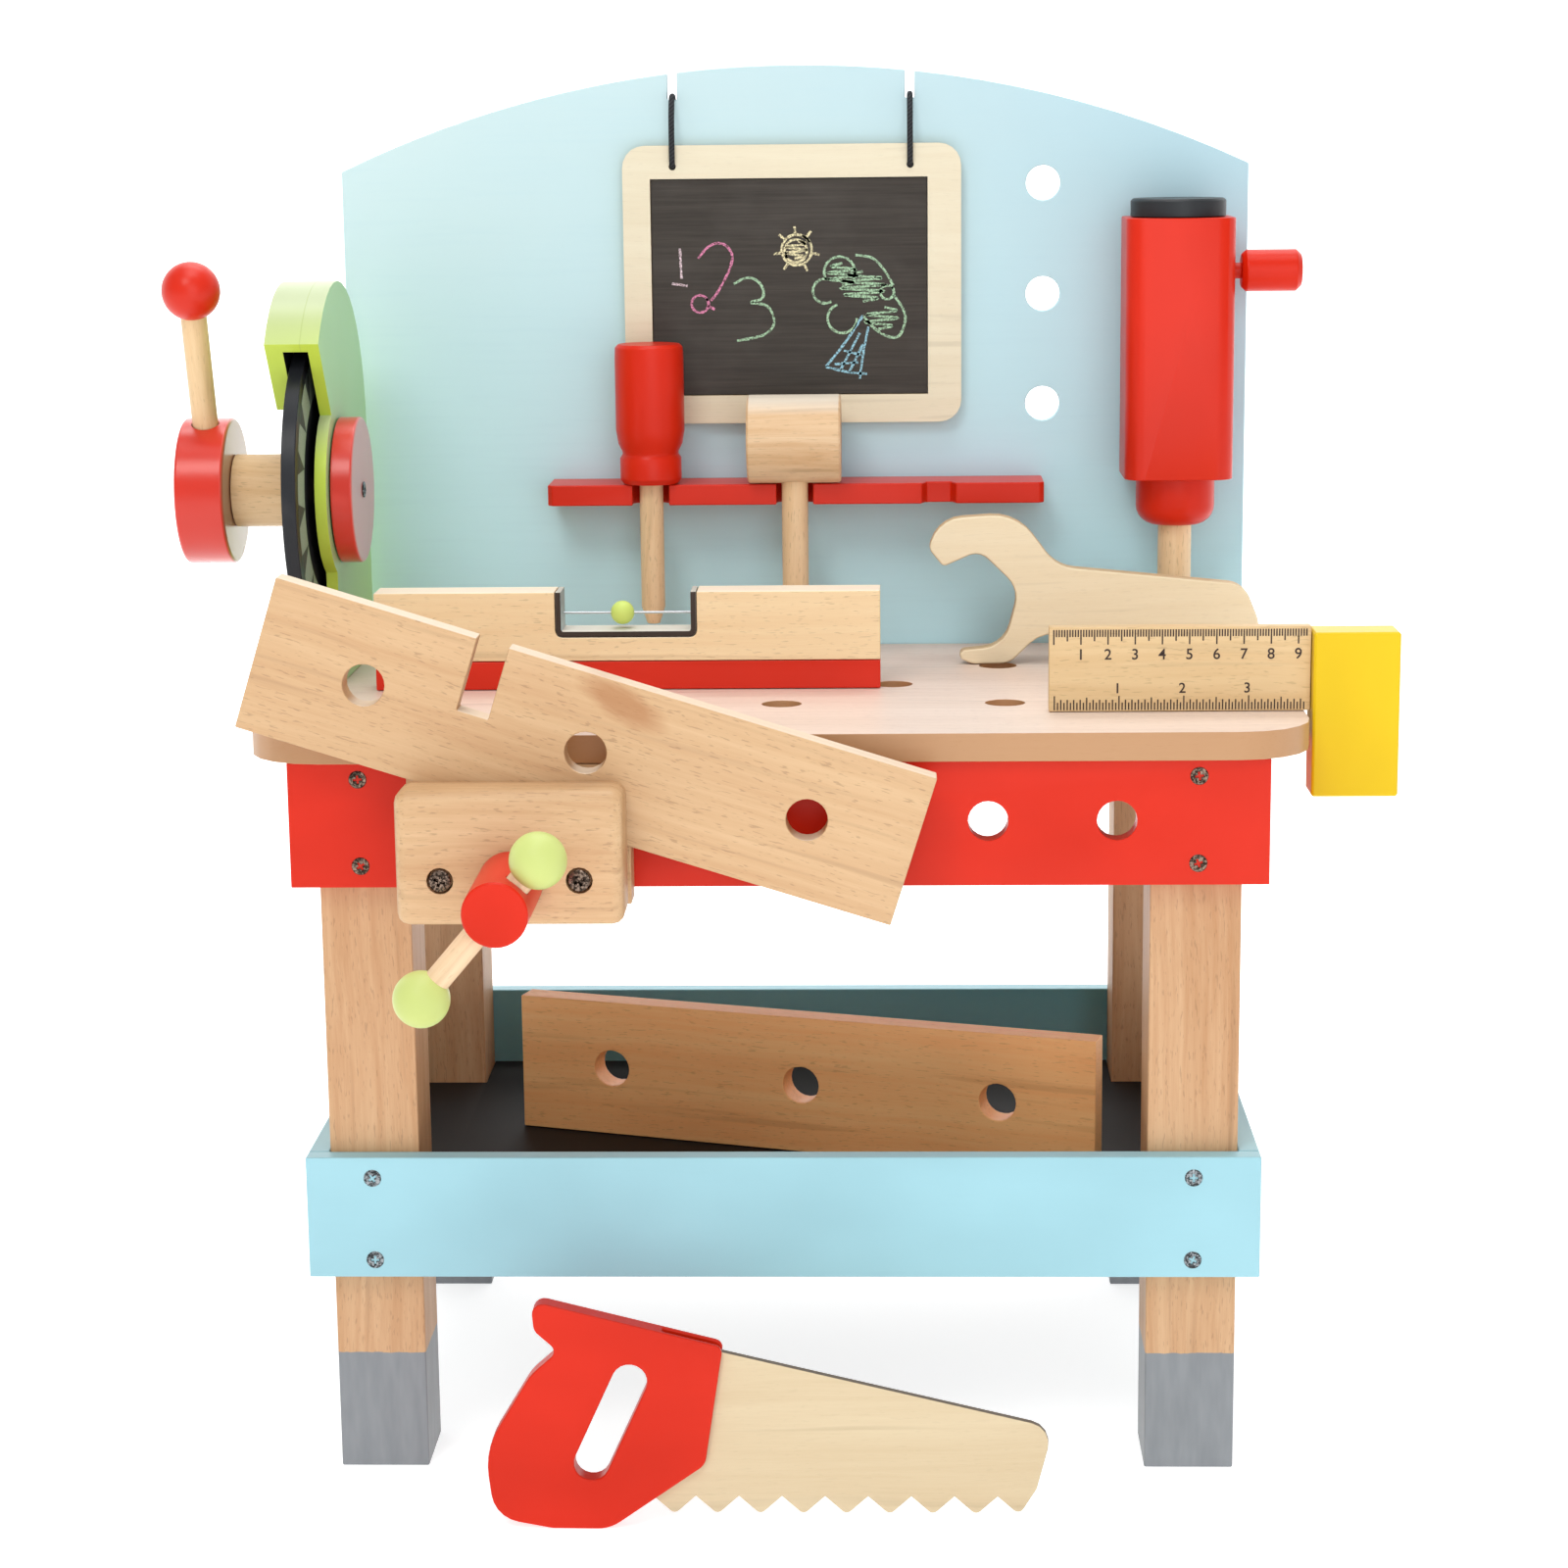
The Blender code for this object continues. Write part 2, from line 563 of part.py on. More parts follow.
def saw_rotor():
    spin = pivot("saw_axis", (BLADE_LEFT, SAW_Y, SAW_Z), BENCH)
    axle = (SAW_Y, SAW_Z)
    blade = plate(
        [circle(axle, BLADE_R, 64), circle(axle, SPINDLE_PIN_R + GAP)],
        ((BLADE_LEFT + BLADE_RIGHT) / 2, 0, 0), BLADE_RIGHT - BLADE_LEFT, "X",
    )
    finish(blade, "saw_blade", BLACK, spin)
    disc_left = GUARD_RIGHT + 2 * GAP
    shoulder = BLADE_LEFT - GAP - (CRANK_RIGHT + GAP)
    tip = disc_left + 4.5 - (CRANK_RIGHT + GAP)
    pin = SPINDLE_PIN_R
    profile = [(0, tip), (pin, tip), (pin, shoulder), (AXLE_R, shoulder), (AXLE_R, 0), (0, 0)]
    shaft = turned(profile, (CRANK_RIGHT + GAP, SAW_Y, SAW_Z), (1, 0, 0), 36)
    finish(shaft, "saw_axle", BEECH, spin)
    pocket = 4.5 + GAP
    bore = pin + GAP
    hub = [(0, END_DISC_THICK), (CRANK_R - 0.6, END_DISC_THICK), (CRANK_R, END_DISC_THICK - 0.6), (CRANK_R, 0)]
    hub += [(bore, 0), (bore, pocket), (0, pocket)]
    end_disc = turned(hub, (disc_left, SAW_Y, SAW_Z), (1, 0, 0), 48)
    finish(end_disc, "axle_end_disc", RED, spin)
    head = [(0, 1.2), (2.4, 1.2), (3.2, 0), (0, 0)]
    screw = turned(head, (disc_left + END_DISC_THICK + GAP, SAW_Y, SAW_Z), (1, 0, 0), 16)
    finish(screw, "axle_end_screw", STEEL, spin)
    width = CRANK_RIGHT - CRANK_LEFT
    edge = 0.8
    rim = [(0, width), (CRANK_R - edge, width), (CRANK_R, width - edge), (CRANK_R, edge), (CRANK_R - edge, 0), (0, 0)]
    disc = turned(rim, (CRANK_LEFT, SAW_Y, SAW_Z), (1, 0, 0), 48)
    lean = math.radians(LEVER_LEAN)
    along = Vector((0, -math.sin(lean), math.cos(lean)))
    centre = Vector(((CRANK_LEFT + CRANK_RIGHT) / 2, SAW_Y, SAW_Z))
    sunk = 6.0
    base = centre + along * (CRANK_R - sunk)
    end = centre + along * (CRANK_BALL_ARM - 2)
    socket = rod(base - along * GAP, centre + along * (CRANK_R + 10), LEVER_R + GAP, 20)
    cut(disc, as_cutter(socket, "lever_socket"))
    finish(disc, "crank_disc", RED, spin)
    finish(rod(base, end, LEVER_R, 20), "crank_lever", BEECH, spin)
    place = centre + along * CRANK_BALL_ARM
    hollow = rod(place - along * 20, end + along * GAP, LEVER_R + GAP, 20)
    knob = cut(ball(place, CRANK_BALL_R), as_cutter(hollow, "crank_ball_socket"))
    finish(knob, "crank_ball", RED, spin)


def cord_route(x):
    """From the knot behind the panel, over the slot's floor and down into the frame's hole, as (x, y, z, size)."""
    behind = PANEL_BACK + CORD_R + 0.6
    ahead = BOARD_FRONT - CORD_R - 0.5
    over = SLOT_BOTTOM + CORD_R + 0.4
    knot_y = PANEL_BACK + 2.2 * CORD_R + 0.6
    route = [
        (knot_y, over - 12.5, 1.0), (knot_y, over - 11.5, 1.9), (knot_y, over - 9.8, 2.2),
        (knot_y, over - 8.1, 1.9), (knot_y - 0.5, over - 7.0, 1.0), (behind, over - 3.5, 1.0),
        (behind - 0.2, over - 1.2, 1.0), (behind - 1.6, over, 1.0), (PANEL_FRONT - 0.6, over, 1.0),
        (PANEL_FRONT - 2.4, over - 0.9, 1.0), (PANEL_FRONT - 4.2, over - 3.4, 1.0),
        (ahead + 0.8, over - 8.0, 1.0), (ahead, over - 14.0, 1.0), (ahead, CORD_HOLE_Z + 6.0, 1.0),
        (ahead, CORD_HOLE_Z + 3.0, 1.0), (ahead + 0.6, CORD_HOLE_Z + 1.0, 1.0),
        (ahead + 2.0, CORD_HOLE_Z, 1.0), (BOARD_BACK - 1.0, CORD_HOLE_Z, 1.0),
    ]
    return [(x, y, z, size) for y, z, size in route]


def cord(x, name, holder):
    curve = bpy.data.curves.new(name, "CURVE")
    curve.dimensions = "3D"
    curve.bevel_depth = CORD_R * MM
    curve.bevel_resolution = 2
    curve.use_fill_caps = True
    route = cord_route(x)
    spline = curve.splines.new("POLY")
    spline.points.add(len(route) - 1)
    for point, (px, py, pz, size) in zip(spline.points, route):
        point.co = (px * MM, py * MM, pz * MM, 1.0)
        point.radius = size
    obj = bpy.data.objects.new(name, curve)
    bpy.context.scene.collection.objects.link(obj)
    finish(obj, name, CORD, holder)


def chalkboard():
    lift = pivot("chalkboard_lift", (0, BOARD_FRONT, CORD_HOLE_Z), BENCH)
    outer = oblong((BOARD_LEFT, BOARD_LOW), (BOARD_RIGHT, BOARD_HIGH), BOARD_CORNER)
    inner = [(SLATE_LEFT, SLATE_LOW), (SLATE_RIGHT, SLATE_LOW), (SLATE_RIGHT, SLATE_HIGH), (SLATE_LEFT, SLATE_HIGH)]
    eyes = [circle((x, CORD_HOLE_Z), CORD_R + GAP, 12) for x in SLOT_XS]
    finish(frontal([outer, inner] + eyes, BOARD_FRONT, BOARD_BACK), "chalkboard_frame", PLY, lift)
    low = (SLATE_LEFT + GAP, BOARD_FRONT + 0.8, SLATE_LOW + GAP)
    high = (SLATE_RIGHT - GAP, BOARD_BACK - 0.8, SLATE_HIGH - GAP)
    finish(block(low, high), "chalkboard_slate", SLATE, lift)
    for side, x in zip(("left", "right"), SLOT_XS):
        cord(x, f"chalkboard_cord_{side}", lift)


def screwdriver():
    rest = RACK_HIGH + GAP
    lift = pivot("screwdriver_lift", (DRIVER_X, TOOL_Y, rest), BENCH)
    length = DRIVER_TOP - rest
    profile = [
        (0, length), (12.6, length), (13.9, length - 1.4), (14.1, length - 6), (14.1, 22), (13.2, 16.5),
        (11.6, 13.2), (11.5, 12.2), (12.6, 10.4), (12.6, 2.0), (11.2, 0), (LEVER_R + GAP, 0),
        (LEVER_R + GAP, 12), (0, 12),
    ]
    finish(turned(profile, (DRIVER_X, TOOL_Y, rest), (0, 0, 1), 36), "screwdriver_handle", RED, lift)
    top = rest + 12 - GAP - DRIVER_TIP
    shaft = [(0, top), (4.9, top), (4.9, 7), (2.6, 0), (0, 0)]
    finish(turned(shaft, (DRIVER_X, TOOL_Y, DRIVER_TIP), (0, 0, 1), 24), "screwdriver_shaft", BEECH, lift)


def hammer():
    z = RACK_HIGH + GAP + HAMMER_R
    lift = pivot("hammer_lift", (HAMMER_X, HAMMER_Y, z), BENCH)
    width = HAMMER_RIGHT - HAMMER_LEFT
    edge = 0.8
    r = HAMMER_R
    profile = [(0, width), (r - edge, width), (r, width - edge), (r, edge), (r - edge, 0), (0, 0)]
    head = turned(profile, (HAMMER_LEFT, HAMMER_Y, z), (1, 0, 0), 48)
    handle_r = 5.4
    socket = rod((HAMMER_X, HAMMER_Y, z - 30), (HAMMER_X, HAMMER_Y, z + GAP), handle_r + GAP, 20)
    cut(head, as_cutter(socket, "hammer_socket"))
    finish(head, "hammer_head", BEECH, lift)
    handle = rod((HAMMER_X, HAMMER_Y, HAMMER_HANDLE_LOW), (HAMMER_X, HAMMER_Y, z), handle_r, 20)
    finish(handle, "hammer_handle", BEECH, lift)


def drill():
    x, y = DRILL_AXIS
    lift = pivot("drill_lift", (x, y, DRILL_LOW), BENCH)
    h = DRILL_HALF
    outline = oblong((x - h, y - h), (x + h, y + h), DRILL_CORNER)
    body = plate([outline], (0, 0, (DRILL_LOW + DRILL_HIGH) / 2), DRILL_HIGH - DRILL_LOW, "Z")
    bevel(body, 2.4, 2, 60.0)
    finish(body, "drill_body", RED, lift)
    cap = [(0, 7.2), (18.2, 7.2), (19.2, 6.2), (19.2, 0), (0, 0)]
    finish(turned(cap, (x, y, DRILL_HIGH + GAP), (0, 0, 1), 36), "drill_cap", BLACK, lift)
    side = [
        (0, 27.6), (6.2, 27.6), (8.4, 25.4), (8.4, 5.4), (6.6, 3.4), (3.2, 3.4), (3.2, 0), (0, 0),
    ]
    place = (x + DRILL_HALF + GAP, y, DRILL_SIDE_Z)
    finish(turned(side, place, (1, 0, 0), 28), "drill_side_handle", RED, lift)
    spin = pivot("drill_chuck_axis", (x, y, DRILL_LOW), lift)
    low = 338.2
    length = DRILL_LOW - GAP - low
    bore = 6.8 + GAP
    chuck = [(0, length), (16, length), (16, 8)] + [(8 + r, z) for r, z in arc((0, 8), 8, 0, -90, 6)][1:]
    chuck += [(bore, 0), (bore, 10), (0, 10)]
    finish(turned(chuck, (x, y, low), (0, 0, 1), 36), "drill_chuck", RED, spin)
    bottom = TOP_LOW + 1.0
    top = low + 10 - GAP - bottom
    bit = [(0, top), (6.8, top), (6.8, 1.2), (5.6, 0), (0, 0)]
    finish(turned(bit, (x, y, bottom), (0, 0, 1), 24), "drill_bit", BEECH, spin)


def wrench():
    rest = TOP_HIGH + GAP
    lift = pivot("wrench_lift", (120, WRENCH_FRONT, rest), BENCH)
    outline = rounded([
        (56.6, 332.5, 4), (60.5, 344.5, 14), (92.0, 346.5, 20), (108.0, 325.0, 16),
        (183.0, 317.5, 10), (190.2, 300.0, 12), (183.0, rest, 8), (122.0, rest + 3.5, 20),
        (106.0, 302.5, 14), (89.0, rest, 9), (74.0, rest, 8), (63.0, 290.6, 2.2),
        (87.0, 293.0, 12), (93.0, 316.0, 12), (77.0, 331.5, 7), (62.5, 325.2, 2.2),
    ])
    finish(frontal([outline], WRENCH_FRONT, WRENCH_BACK), "wrench", PLY, lift)


def square():
    lift = pivot("square_lift", (STOCK[0][0], RULE_FRONT, TOP_HIGH + GAP), BENCH)
    low = (RULE_LEFT, RULE_FRONT, TOP_HIGH + GAP)
    rule = block(low, (STOCK[0][0] - GAP, RULE_BACK, RULE_HIGH))
    finish(rule, "square_blade", BEECH, lift)
    finish(bevel(block(*STOCK), 0.8, 1), "square_stock", YELLOW, lift)


def level():
    base_low = TOP_HIGH + GAP
    lift = pivot("level_lift", (LEVEL_LEFT, LEVEL_FRONT, base_low), BENCH)
    base = block((LEVEL_LEFT, LEVEL_FRONT, base_low), (LEVEL_RIGHT, LEVEL_BACK, LEVEL_BASE_HIGH))
    finish(base, "level_base", RED, lift)
    low = LEVEL_BASE_HIGH + GAP
    corner = CHANNEL_CORNER + GAP
    outline = rounded([
        (LEVEL_LEFT, low, 0), (LEVEL_RIGHT, low, 0), (LEVEL_RIGHT, LEVEL_HIGH, 0), (VIAL_RIGHT, LEVEL_HIGH, 0),
        (VIAL_RIGHT, VIAL_LOW, corner), (VIAL_LEFT, VIAL_LOW, corner), (VIAL_LEFT, LEVEL_HIGH, 0),
        (LEVEL_LEFT, LEVEL_HIGH, 0),
    ], 3)
    finish(frontal([outline], LEVEL_FRONT, LEVEL_BACK), "level_body", BEECH, lift)
    left, right, floor = VIAL_LEFT + GAP, VIAL_RIGHT - GAP, VIAL_LOW + GAP
    channel = rounded([
        (left, floor, CHANNEL_CORNER), (right, floor, CHANNEL_CORNER), (right, LEVEL_HIGH, 0),
        (right - CHANNEL, LEVEL_HIGH, 0), (right - CHANNEL, floor + CHANNEL, 0.8),
        (left + CHANNEL, floor + CHANNEL, 0.8), (left + CHANNEL, LEVEL_HIGH, 0), (left, LEVEL_HIGH, 0),
    ], 3)
    inset = 0.2
    finish(frontal([channel], LEVEL_FRONT + inset, LEVEL_BACK - inset), "level_channel", BLACK, lift)
    y = (LEVEL_FRONT + LEVEL_BACK) / 2
    ends = [(left + CHANNEL + GAP, y, WIRE_Z), (right - CHANNEL - GAP, y, WIRE_Z)]
    finish(rod(*ends, 0.5, 10), "level_wire", STEEL, lift)
    slide = pivot("level_bead_slide", (BEAD_X, y, WIRE_Z), lift)
    bore = rod((BEAD_X - 8, y, WIRE_Z), (BEAD_X + 8, y, WIRE_Z), 0.5 + GAP, 10)
    bead = cut(ball((BEAD_X, y, WIRE_Z), BEAD_R, 16, 10), as_cutter(bore, "bead_bore"))
    finish(bead, "level_bead", LIME, slide)


def handsaw():
    lift = pivot("handsaw_lift", (0, HANDSAW_FRONT, 0), BENCH)
    slit = HANDSAW_BLADE_FRONT - GAP, HANDSAW_BLADE_BACK + GAP
    outline = rounded([
        (-89.0, 87.0, 4), (-20.0, 69.5, 3), (-27.0, 24.5, 6), (-62.0, -0.2, 14), (-83.0, 0.0, 12),
        (-104.0, 4.0, 12), (-107.0, 30.0, 30), (-89.5, 59.0, 20), (-79.5, 67.8, 3), (-88.0, 75.5, 5),
    ])
    low = min(z for _, z in outline)
    outline = [(x, z - low) for x, z in outline]
    grip = arc((-53.9, 56.6), 6.4, -26.4, 153.6) + arc((-68.2, 25.3), 6.4, 153.6, 333.6)
    handle = frontal([outline, grip], HANDSAW_FRONT, HANDSAW_BACK)
    high_slit = as_cutter(block((-42.0, slit[0], -5), (0, slit[1], 90)), "blade_slit")
    low_slit = as_cutter(block((-47.4, slit[0], -5), (-20, slit[1], 19.2)), "blade_slit_low")
    finish(cut(handle, high_slit, low_slit), "handsaw_handle", RED, lift)
    teeth, pitch, tip_z, root_z = 9, 15.64, 4.9, 12.0
    first = -46.3
    corners = [(first, root_z, 0), (first, 18.0, 0), (-41.0, 18.0, 0), (-41.0, 66.5, 0), (-32.0, 70.2, 0)]
    corners += [(-20.2, 67.0, 0), (98.9, 38.3, 8), (92.9, 15.0, 2)]
    for tooth in reversed(range(teeth)):
        x = first + tooth * pitch
        corners += [(x + pitch / 2, tip_z, 2.2), (x, root_z, 0)]
    blade = frontal([rounded(corners[:-1], 4)], HANDSAW_BLADE_FRONT, HANDSAW_BLADE_BACK)
    finish(blade, "handsaw_blade", PLY, lift)


clear_scene()
PARTS = collection("toy_tool_bench")
CUTTERS = collection("cutters")
BENCH = pivot("bench", (BENCH_X, BENCH_Y, 0), None)
legs()
tray()
aprons()
tabletop()
back_panel()
tool_rack()
vise()
planks()
saw_guard()
saw_rotor()
chalkboard()
screwdriver()
hammer()
drill()
wrench()
square()
level()
handsaw()
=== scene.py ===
"""The looks of the toy tool bench: wood, paint, print, chalk, cords and screws on its frame.

Lengths are in metres in the row frame. MM turns the bench's own millimetres into metres.
The bench frame has X to the right from the bench's centre line, Y back from the tray's front face
and Z up from the floor, and at() turns one of its points into a point in the row frame.
Colours are sRGB from 0 to 255, as the eye sees them.
"""

import json
import math
import random

import bmesh
import bpy
from mathutils import Matrix, Vector


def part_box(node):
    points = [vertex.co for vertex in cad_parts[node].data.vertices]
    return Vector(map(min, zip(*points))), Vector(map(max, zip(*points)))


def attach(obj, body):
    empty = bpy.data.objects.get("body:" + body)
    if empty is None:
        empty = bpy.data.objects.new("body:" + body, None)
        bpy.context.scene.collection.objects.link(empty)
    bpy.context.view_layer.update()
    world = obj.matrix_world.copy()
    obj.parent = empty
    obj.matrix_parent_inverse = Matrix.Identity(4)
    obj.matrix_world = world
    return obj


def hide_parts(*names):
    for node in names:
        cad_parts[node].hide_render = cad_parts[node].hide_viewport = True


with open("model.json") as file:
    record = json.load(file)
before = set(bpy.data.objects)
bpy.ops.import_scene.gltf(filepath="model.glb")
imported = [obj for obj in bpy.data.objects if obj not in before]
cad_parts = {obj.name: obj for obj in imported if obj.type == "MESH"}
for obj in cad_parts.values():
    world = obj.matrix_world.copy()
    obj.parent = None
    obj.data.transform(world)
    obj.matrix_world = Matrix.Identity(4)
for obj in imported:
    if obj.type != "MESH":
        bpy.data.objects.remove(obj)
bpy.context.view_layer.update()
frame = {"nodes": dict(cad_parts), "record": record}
MM = 0.001
BENCH_X = (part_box("front_left_leg")[0].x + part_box("front_right_leg")[1].x) / 2
BENCH_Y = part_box("tray_front")[0].y
BODY_OF = {
    node: body for body, nodes in frame["record"]["behaviour"]["bodies"].items() for node in nodes
}
SLOT_OF = {part["node"]: part["material_slot"] for part in frame["record"]["subparts"]}
X, Y, Z = (1, 0, 0), (0, 1, 0), (0, 0, 1)
LEFT, FRONT = (-1, 0, 0), (0, -1, 0)


def at(x, y, z):
    """A point of the bench frame, in the row frame."""
    return Vector((x * MM + BENCH_X, y * MM + BENCH_Y, z * MM))


def added(name, data):
    """A new object in the scene."""
    made = bpy.data.objects.new(name, data)
    bpy.context.scene.collection.objects.link(made)
    return made


def mesh_of(work, name):
    """The mesh built in a bmesh, which is freed."""
    mesh = bpy.data.meshes.new(name)
    work.to_mesh(mesh)
    work.free()
    return mesh


def evaluated_mesh(obj):
    """The mesh of an object with its modifiers, its bevel or its text made real."""
    graph = bpy.context.evaluated_depsgraph_get()
    return bpy.data.meshes.new_from_object(obj.evaluated_get(graph))


def smoothed(work):
    """Shades every face of a bmesh smooth."""
    for face in work.faces:
        face.smooth = True


def middle_of(node):
    low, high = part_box(node)
    return (low + high) / 2


# ---------------------------------------------------------------- camera, stage and light

LENS, SENSOR = 76.48, 36.0
CLIP = 0.05, 50.0
EYE = (43.01, -1182.32, 501.32)
YAW, PITCH, ROLL = -0.03417, 0.19631, -0.01111

WORLD_COLOUR, WORLD_STRENGTH = (0.97, 0.985, 1.0, 1.0), 0.44
FLOOR_WHITE, FLOOR_GLOW = 0.75, 0.7
FLOOR_HALF, FLOOR_FAR, FLOOR_RISE, WALL_TOP = 30.0, 2.2, 1.0, 5.0
CURVE_STEPS = 16
LAMPS = (  # name, place, target, width, power, colour
    ("key", (-0.6, -1.7, 2.0), (0, 0, 0.3), 0.9, 16, (1.0, 0.985, 0.96)),
    ("overhead", (0.0, -0.3, 2.2), (0, 0, 0.3), 1.2, 14, (1.0, 1.0, 1.0)),
    ("fill", (0.4, -1.9, 0.8), (0, 0, 0.2), 1.4, 9.5, (0.97, 0.98, 1.0)),
    ("backdrop", (0.0, 1.2, 2.6), (0.0, 3.2, 0.6), 2.0, 60, (1.0, 1.0, 1.0)),
)


def camera():
    """The camera looks back and a little down, with a slight turn and roll."""
    forward = Vector((
        math.sin(YAW) * math.cos(PITCH), math.cos(YAW) * math.cos(PITCH), -math.sin(PITCH)
    ))
    right = Vector((math.cos(YAW), -math.sin(YAW), 0.0))
    up = right.cross(forward)
    side = right * math.cos(ROLL) + up * math.sin(ROLL)
    top = up * math.cos(ROLL) - right * math.sin(ROLL)
    data = bpy.data.cameras.new("camera")
    data.lens, data.sensor_width = LENS, SENSOR
    data.clip_start, data.clip_end = CLIP
    made = added("camera", data)
    turn = Matrix((side, top, -forward)).transposed().to_4x4()
    made.matrix_world = Matrix.Translation(at(*EYE)) @ turn
    bpy.context.scene.camera = made


def lamp(name, place, target, size, power, colour):
    """A round soft lamp that faces its target."""
    data = bpy.data.lights.new(name, "AREA")
    data.shape, data.size, data.energy, data.color = "DISK", size, power, colour
    made = added(name, data)
    made.location = place
    made.rotation_euler = (Vector(target) - Vector(place)).to_track_quat("-Z", "Y").to_euler()


def studio():
    """A white floor that curves up behind the bench, a white surround and four soft lamps."""
    world = bpy.data.worlds.new("studio")
    bpy.context.scene.world = world
    world.use_nodes = True
    shade = world.node_tree.nodes["Background"]
    shade.inputs["Color"].default_value = WORLD_COLOUR
    shade.inputs["Strength"].default_value = WORLD_STRENGTH
    profile = [(-FLOOR_HALF, 0.0)]
    for i in range(CURVE_STEPS + 1):
        turn = math.pi / 2 * i / CURVE_STEPS
        profile.append((
            FLOOR_FAR + FLOOR_RISE * math.sin(turn), FLOOR_RISE * (1 - math.cos(turn))
        ))
    profile.append((FLOOR_FAR + FLOOR_RISE, WALL_TOP))
    work = bmesh.new()
    rows = [
        [work.verts.new((x, y, z)) for x in (-FLOOR_HALF, FLOOR_HALF)] for y, z in profile
    ]
    for low, high in zip(rows, rows[1:]):
        work.faces.new((low[0], low[1], high[1], high[0]))
    mesh = mesh_of(work, "studio_floor")
    mesh.shade_smooth()
    floor = added("studio_floor", mesh)
    white = bpy.data.materials.new("studio_white")
    white.use_nodes = True
    shader = white.node_tree.nodes["Principled BSDF"]
    shader.inputs["Base Color"].default_value = (FLOOR_WHITE, FLOOR_WHITE, FLOOR_WHITE, 1.0)
    shader.inputs["Roughness"].default_value = 0.9
    shader.inputs["Specular IOR Level"].default_value = 0.1
    shader.inputs["Emission Color"].default_value = (1.0, 1.0, 1.0, 1.0)
    shader.inputs["Emission Strength"].default_value = FLOOR_GLOW
    mesh.materials.append(white)
    for facts in LAMPS:
        lamp(*facts)
    bpy.context.scene.view_settings.view_transform = "Standard"


# ---------------------------------------------------------------- materials

NORMAL_OUT, PLACE_OUT, POINTINESS_OUT = 1, 3, 7  # outputs of Texture Coordinate and Geometry


class Graph:
    """Builds a material's nodes.

    An input is named with _ for its spaces, or by its number after an i, and takes a value or
    another socket.
    """

    def __init__(self, name):
        self.material = bpy.data.materials.new(name)
        self.material.use_nodes = True
        self.tree = self.material.node_tree
        self.shader = self.tree.nodes["Principled BSDF"]

    @classmethod
    def of(cls, material):
        """The graph of a material that is there already."""
        graph = cls.__new__(cls)
        graph.material, graph.tree = material, material.node_tree
        graph.shader = graph.tree.nodes["Principled BSDF"]
        return graph

    def add(self, kind, out=0, settings=(), **inputs):
        made = self.tree.nodes.new("ShaderNode" + kind)
        for key, value in dict(settings).items():
            setattr(made, key, value)
        for key, value in inputs.items():
            name = int(key[1:]) if key[1:].isdigit() else key.replace("_", " ")
            self.put(made.inputs[name], value)
        return made.outputs[out]

    def put(self, socket, value):
        if isinstance(value, bpy.types.NodeSocket):
            self.tree.links.new(value, socket)
        else:
            socket.default_value = value

    def mix(self, factor, first, second, blend="MIX"):
        settings = {"data_type": "RGBA", "blend_type": blend}
        return self.add("Mix", 2, settings, i0=factor, i6=first, i7=second)

    def math(self, operation, first, second=0.0, clamp=False):
        settings = {"operation": operation, "use_clamp": clamp}
        return self.add("Math", 0, settings, i0=first, i1=second)

    def vector(self, operation, first, second, third=None):
        inputs = {"i0": first, "i1": second}
        if third is not None:
            inputs["i2"] = third
        return self.add("VectorMath", 0, {"operation": operation}, **inputs)

    def axis(self, name, vector):
        """One of a vector's three numbers."""
        return self.add("SeparateXYZ", "XYZ".index(name), (), Vector=vector)

    def place(self):
        """The place on the piece, in metres."""
        return self.add("TexCoord", PLACE_OUT)

    def normal(self):
        return self.add("TexCoord", NORMAL_OUT)

    def facing(self, way):
        """How much the surface faces a direction, from -1 to 1."""
        return self.add(
            "VectorMath", 1, {"operation": "DOT_PRODUCT"}, i0=self.normal(), i1=way
        )

    def noise(self, vector, scale=1.0, detail=2.0, roughness=0.5):
        return self.add(
            "TexNoise", 0, (), Vector=vector, Scale=scale, Detail=detail, Roughness=roughness
        )

    def spread(self, value, low, high, to_low=0.0, to_high=1.0):
        """The value from low to high, stretched to another range and held at its ends."""
        return self.add(
            "MapRange", 0, (), Value=value,
            From_Min=low, From_Max=high, To_Min=to_low, To_Max=to_high,
        )

    def bump(self, height, strength, distance):
        return self.add("Bump", 0, (), Height=height, Strength=strength, Distance=distance)

    def base(self):
        """What the base colour is fed with now."""
        return self.shader.inputs["Base Color"].links[0].from_socket

    def finish(self, **inputs):
        for key, value in inputs.items():
            self.put(self.shader.inputs[key.replace("_", " ")], value)
        return self.material


def srgb(red, green, blue):
    """A colour from 0 to 255 as the eye sees it, as linear light."""
    linear = [
        c / 255 / 12.92 if c <= 10 else ((c / 255 + 0.055) / 1.055) ** 2.4
        for c in (red, green, blue)
    ]
    return (*linear, 1.0)


def scaled(colour, factor, more=0.0):
    """A linear colour made darker or lighter."""
    return (*(min(1.0, c * factor + more) for c in colour[:3]), 1.0)


def along_x(direction):
    """The turn that lays a direction along X."""
    return Vector(direction).normalized().rotation_difference(Vector(X)).to_euler()


def grain_space(graph, direction, seed):
    """The place in metres, turned so that X runs along the grain, and shifted for each board."""
    place = graph.place()
    turned = graph.add("Mapping", 0, (), Vector=place, Rotation=along_x(direction))
    shift = random.Random(seed)
    offset = [shift.uniform(-3, 3) for _ in range(3)]
    return graph.add("Mapping", 0, (), Vector=turned, Location=offset)


def stretched(graph, vector, along, across):
    """Features of these sizes in metres, along and across the grain."""
    return graph.add("Mapping", 0, (), Vector=vector, Scale=(1 / along, 1 / across, 1 / across))


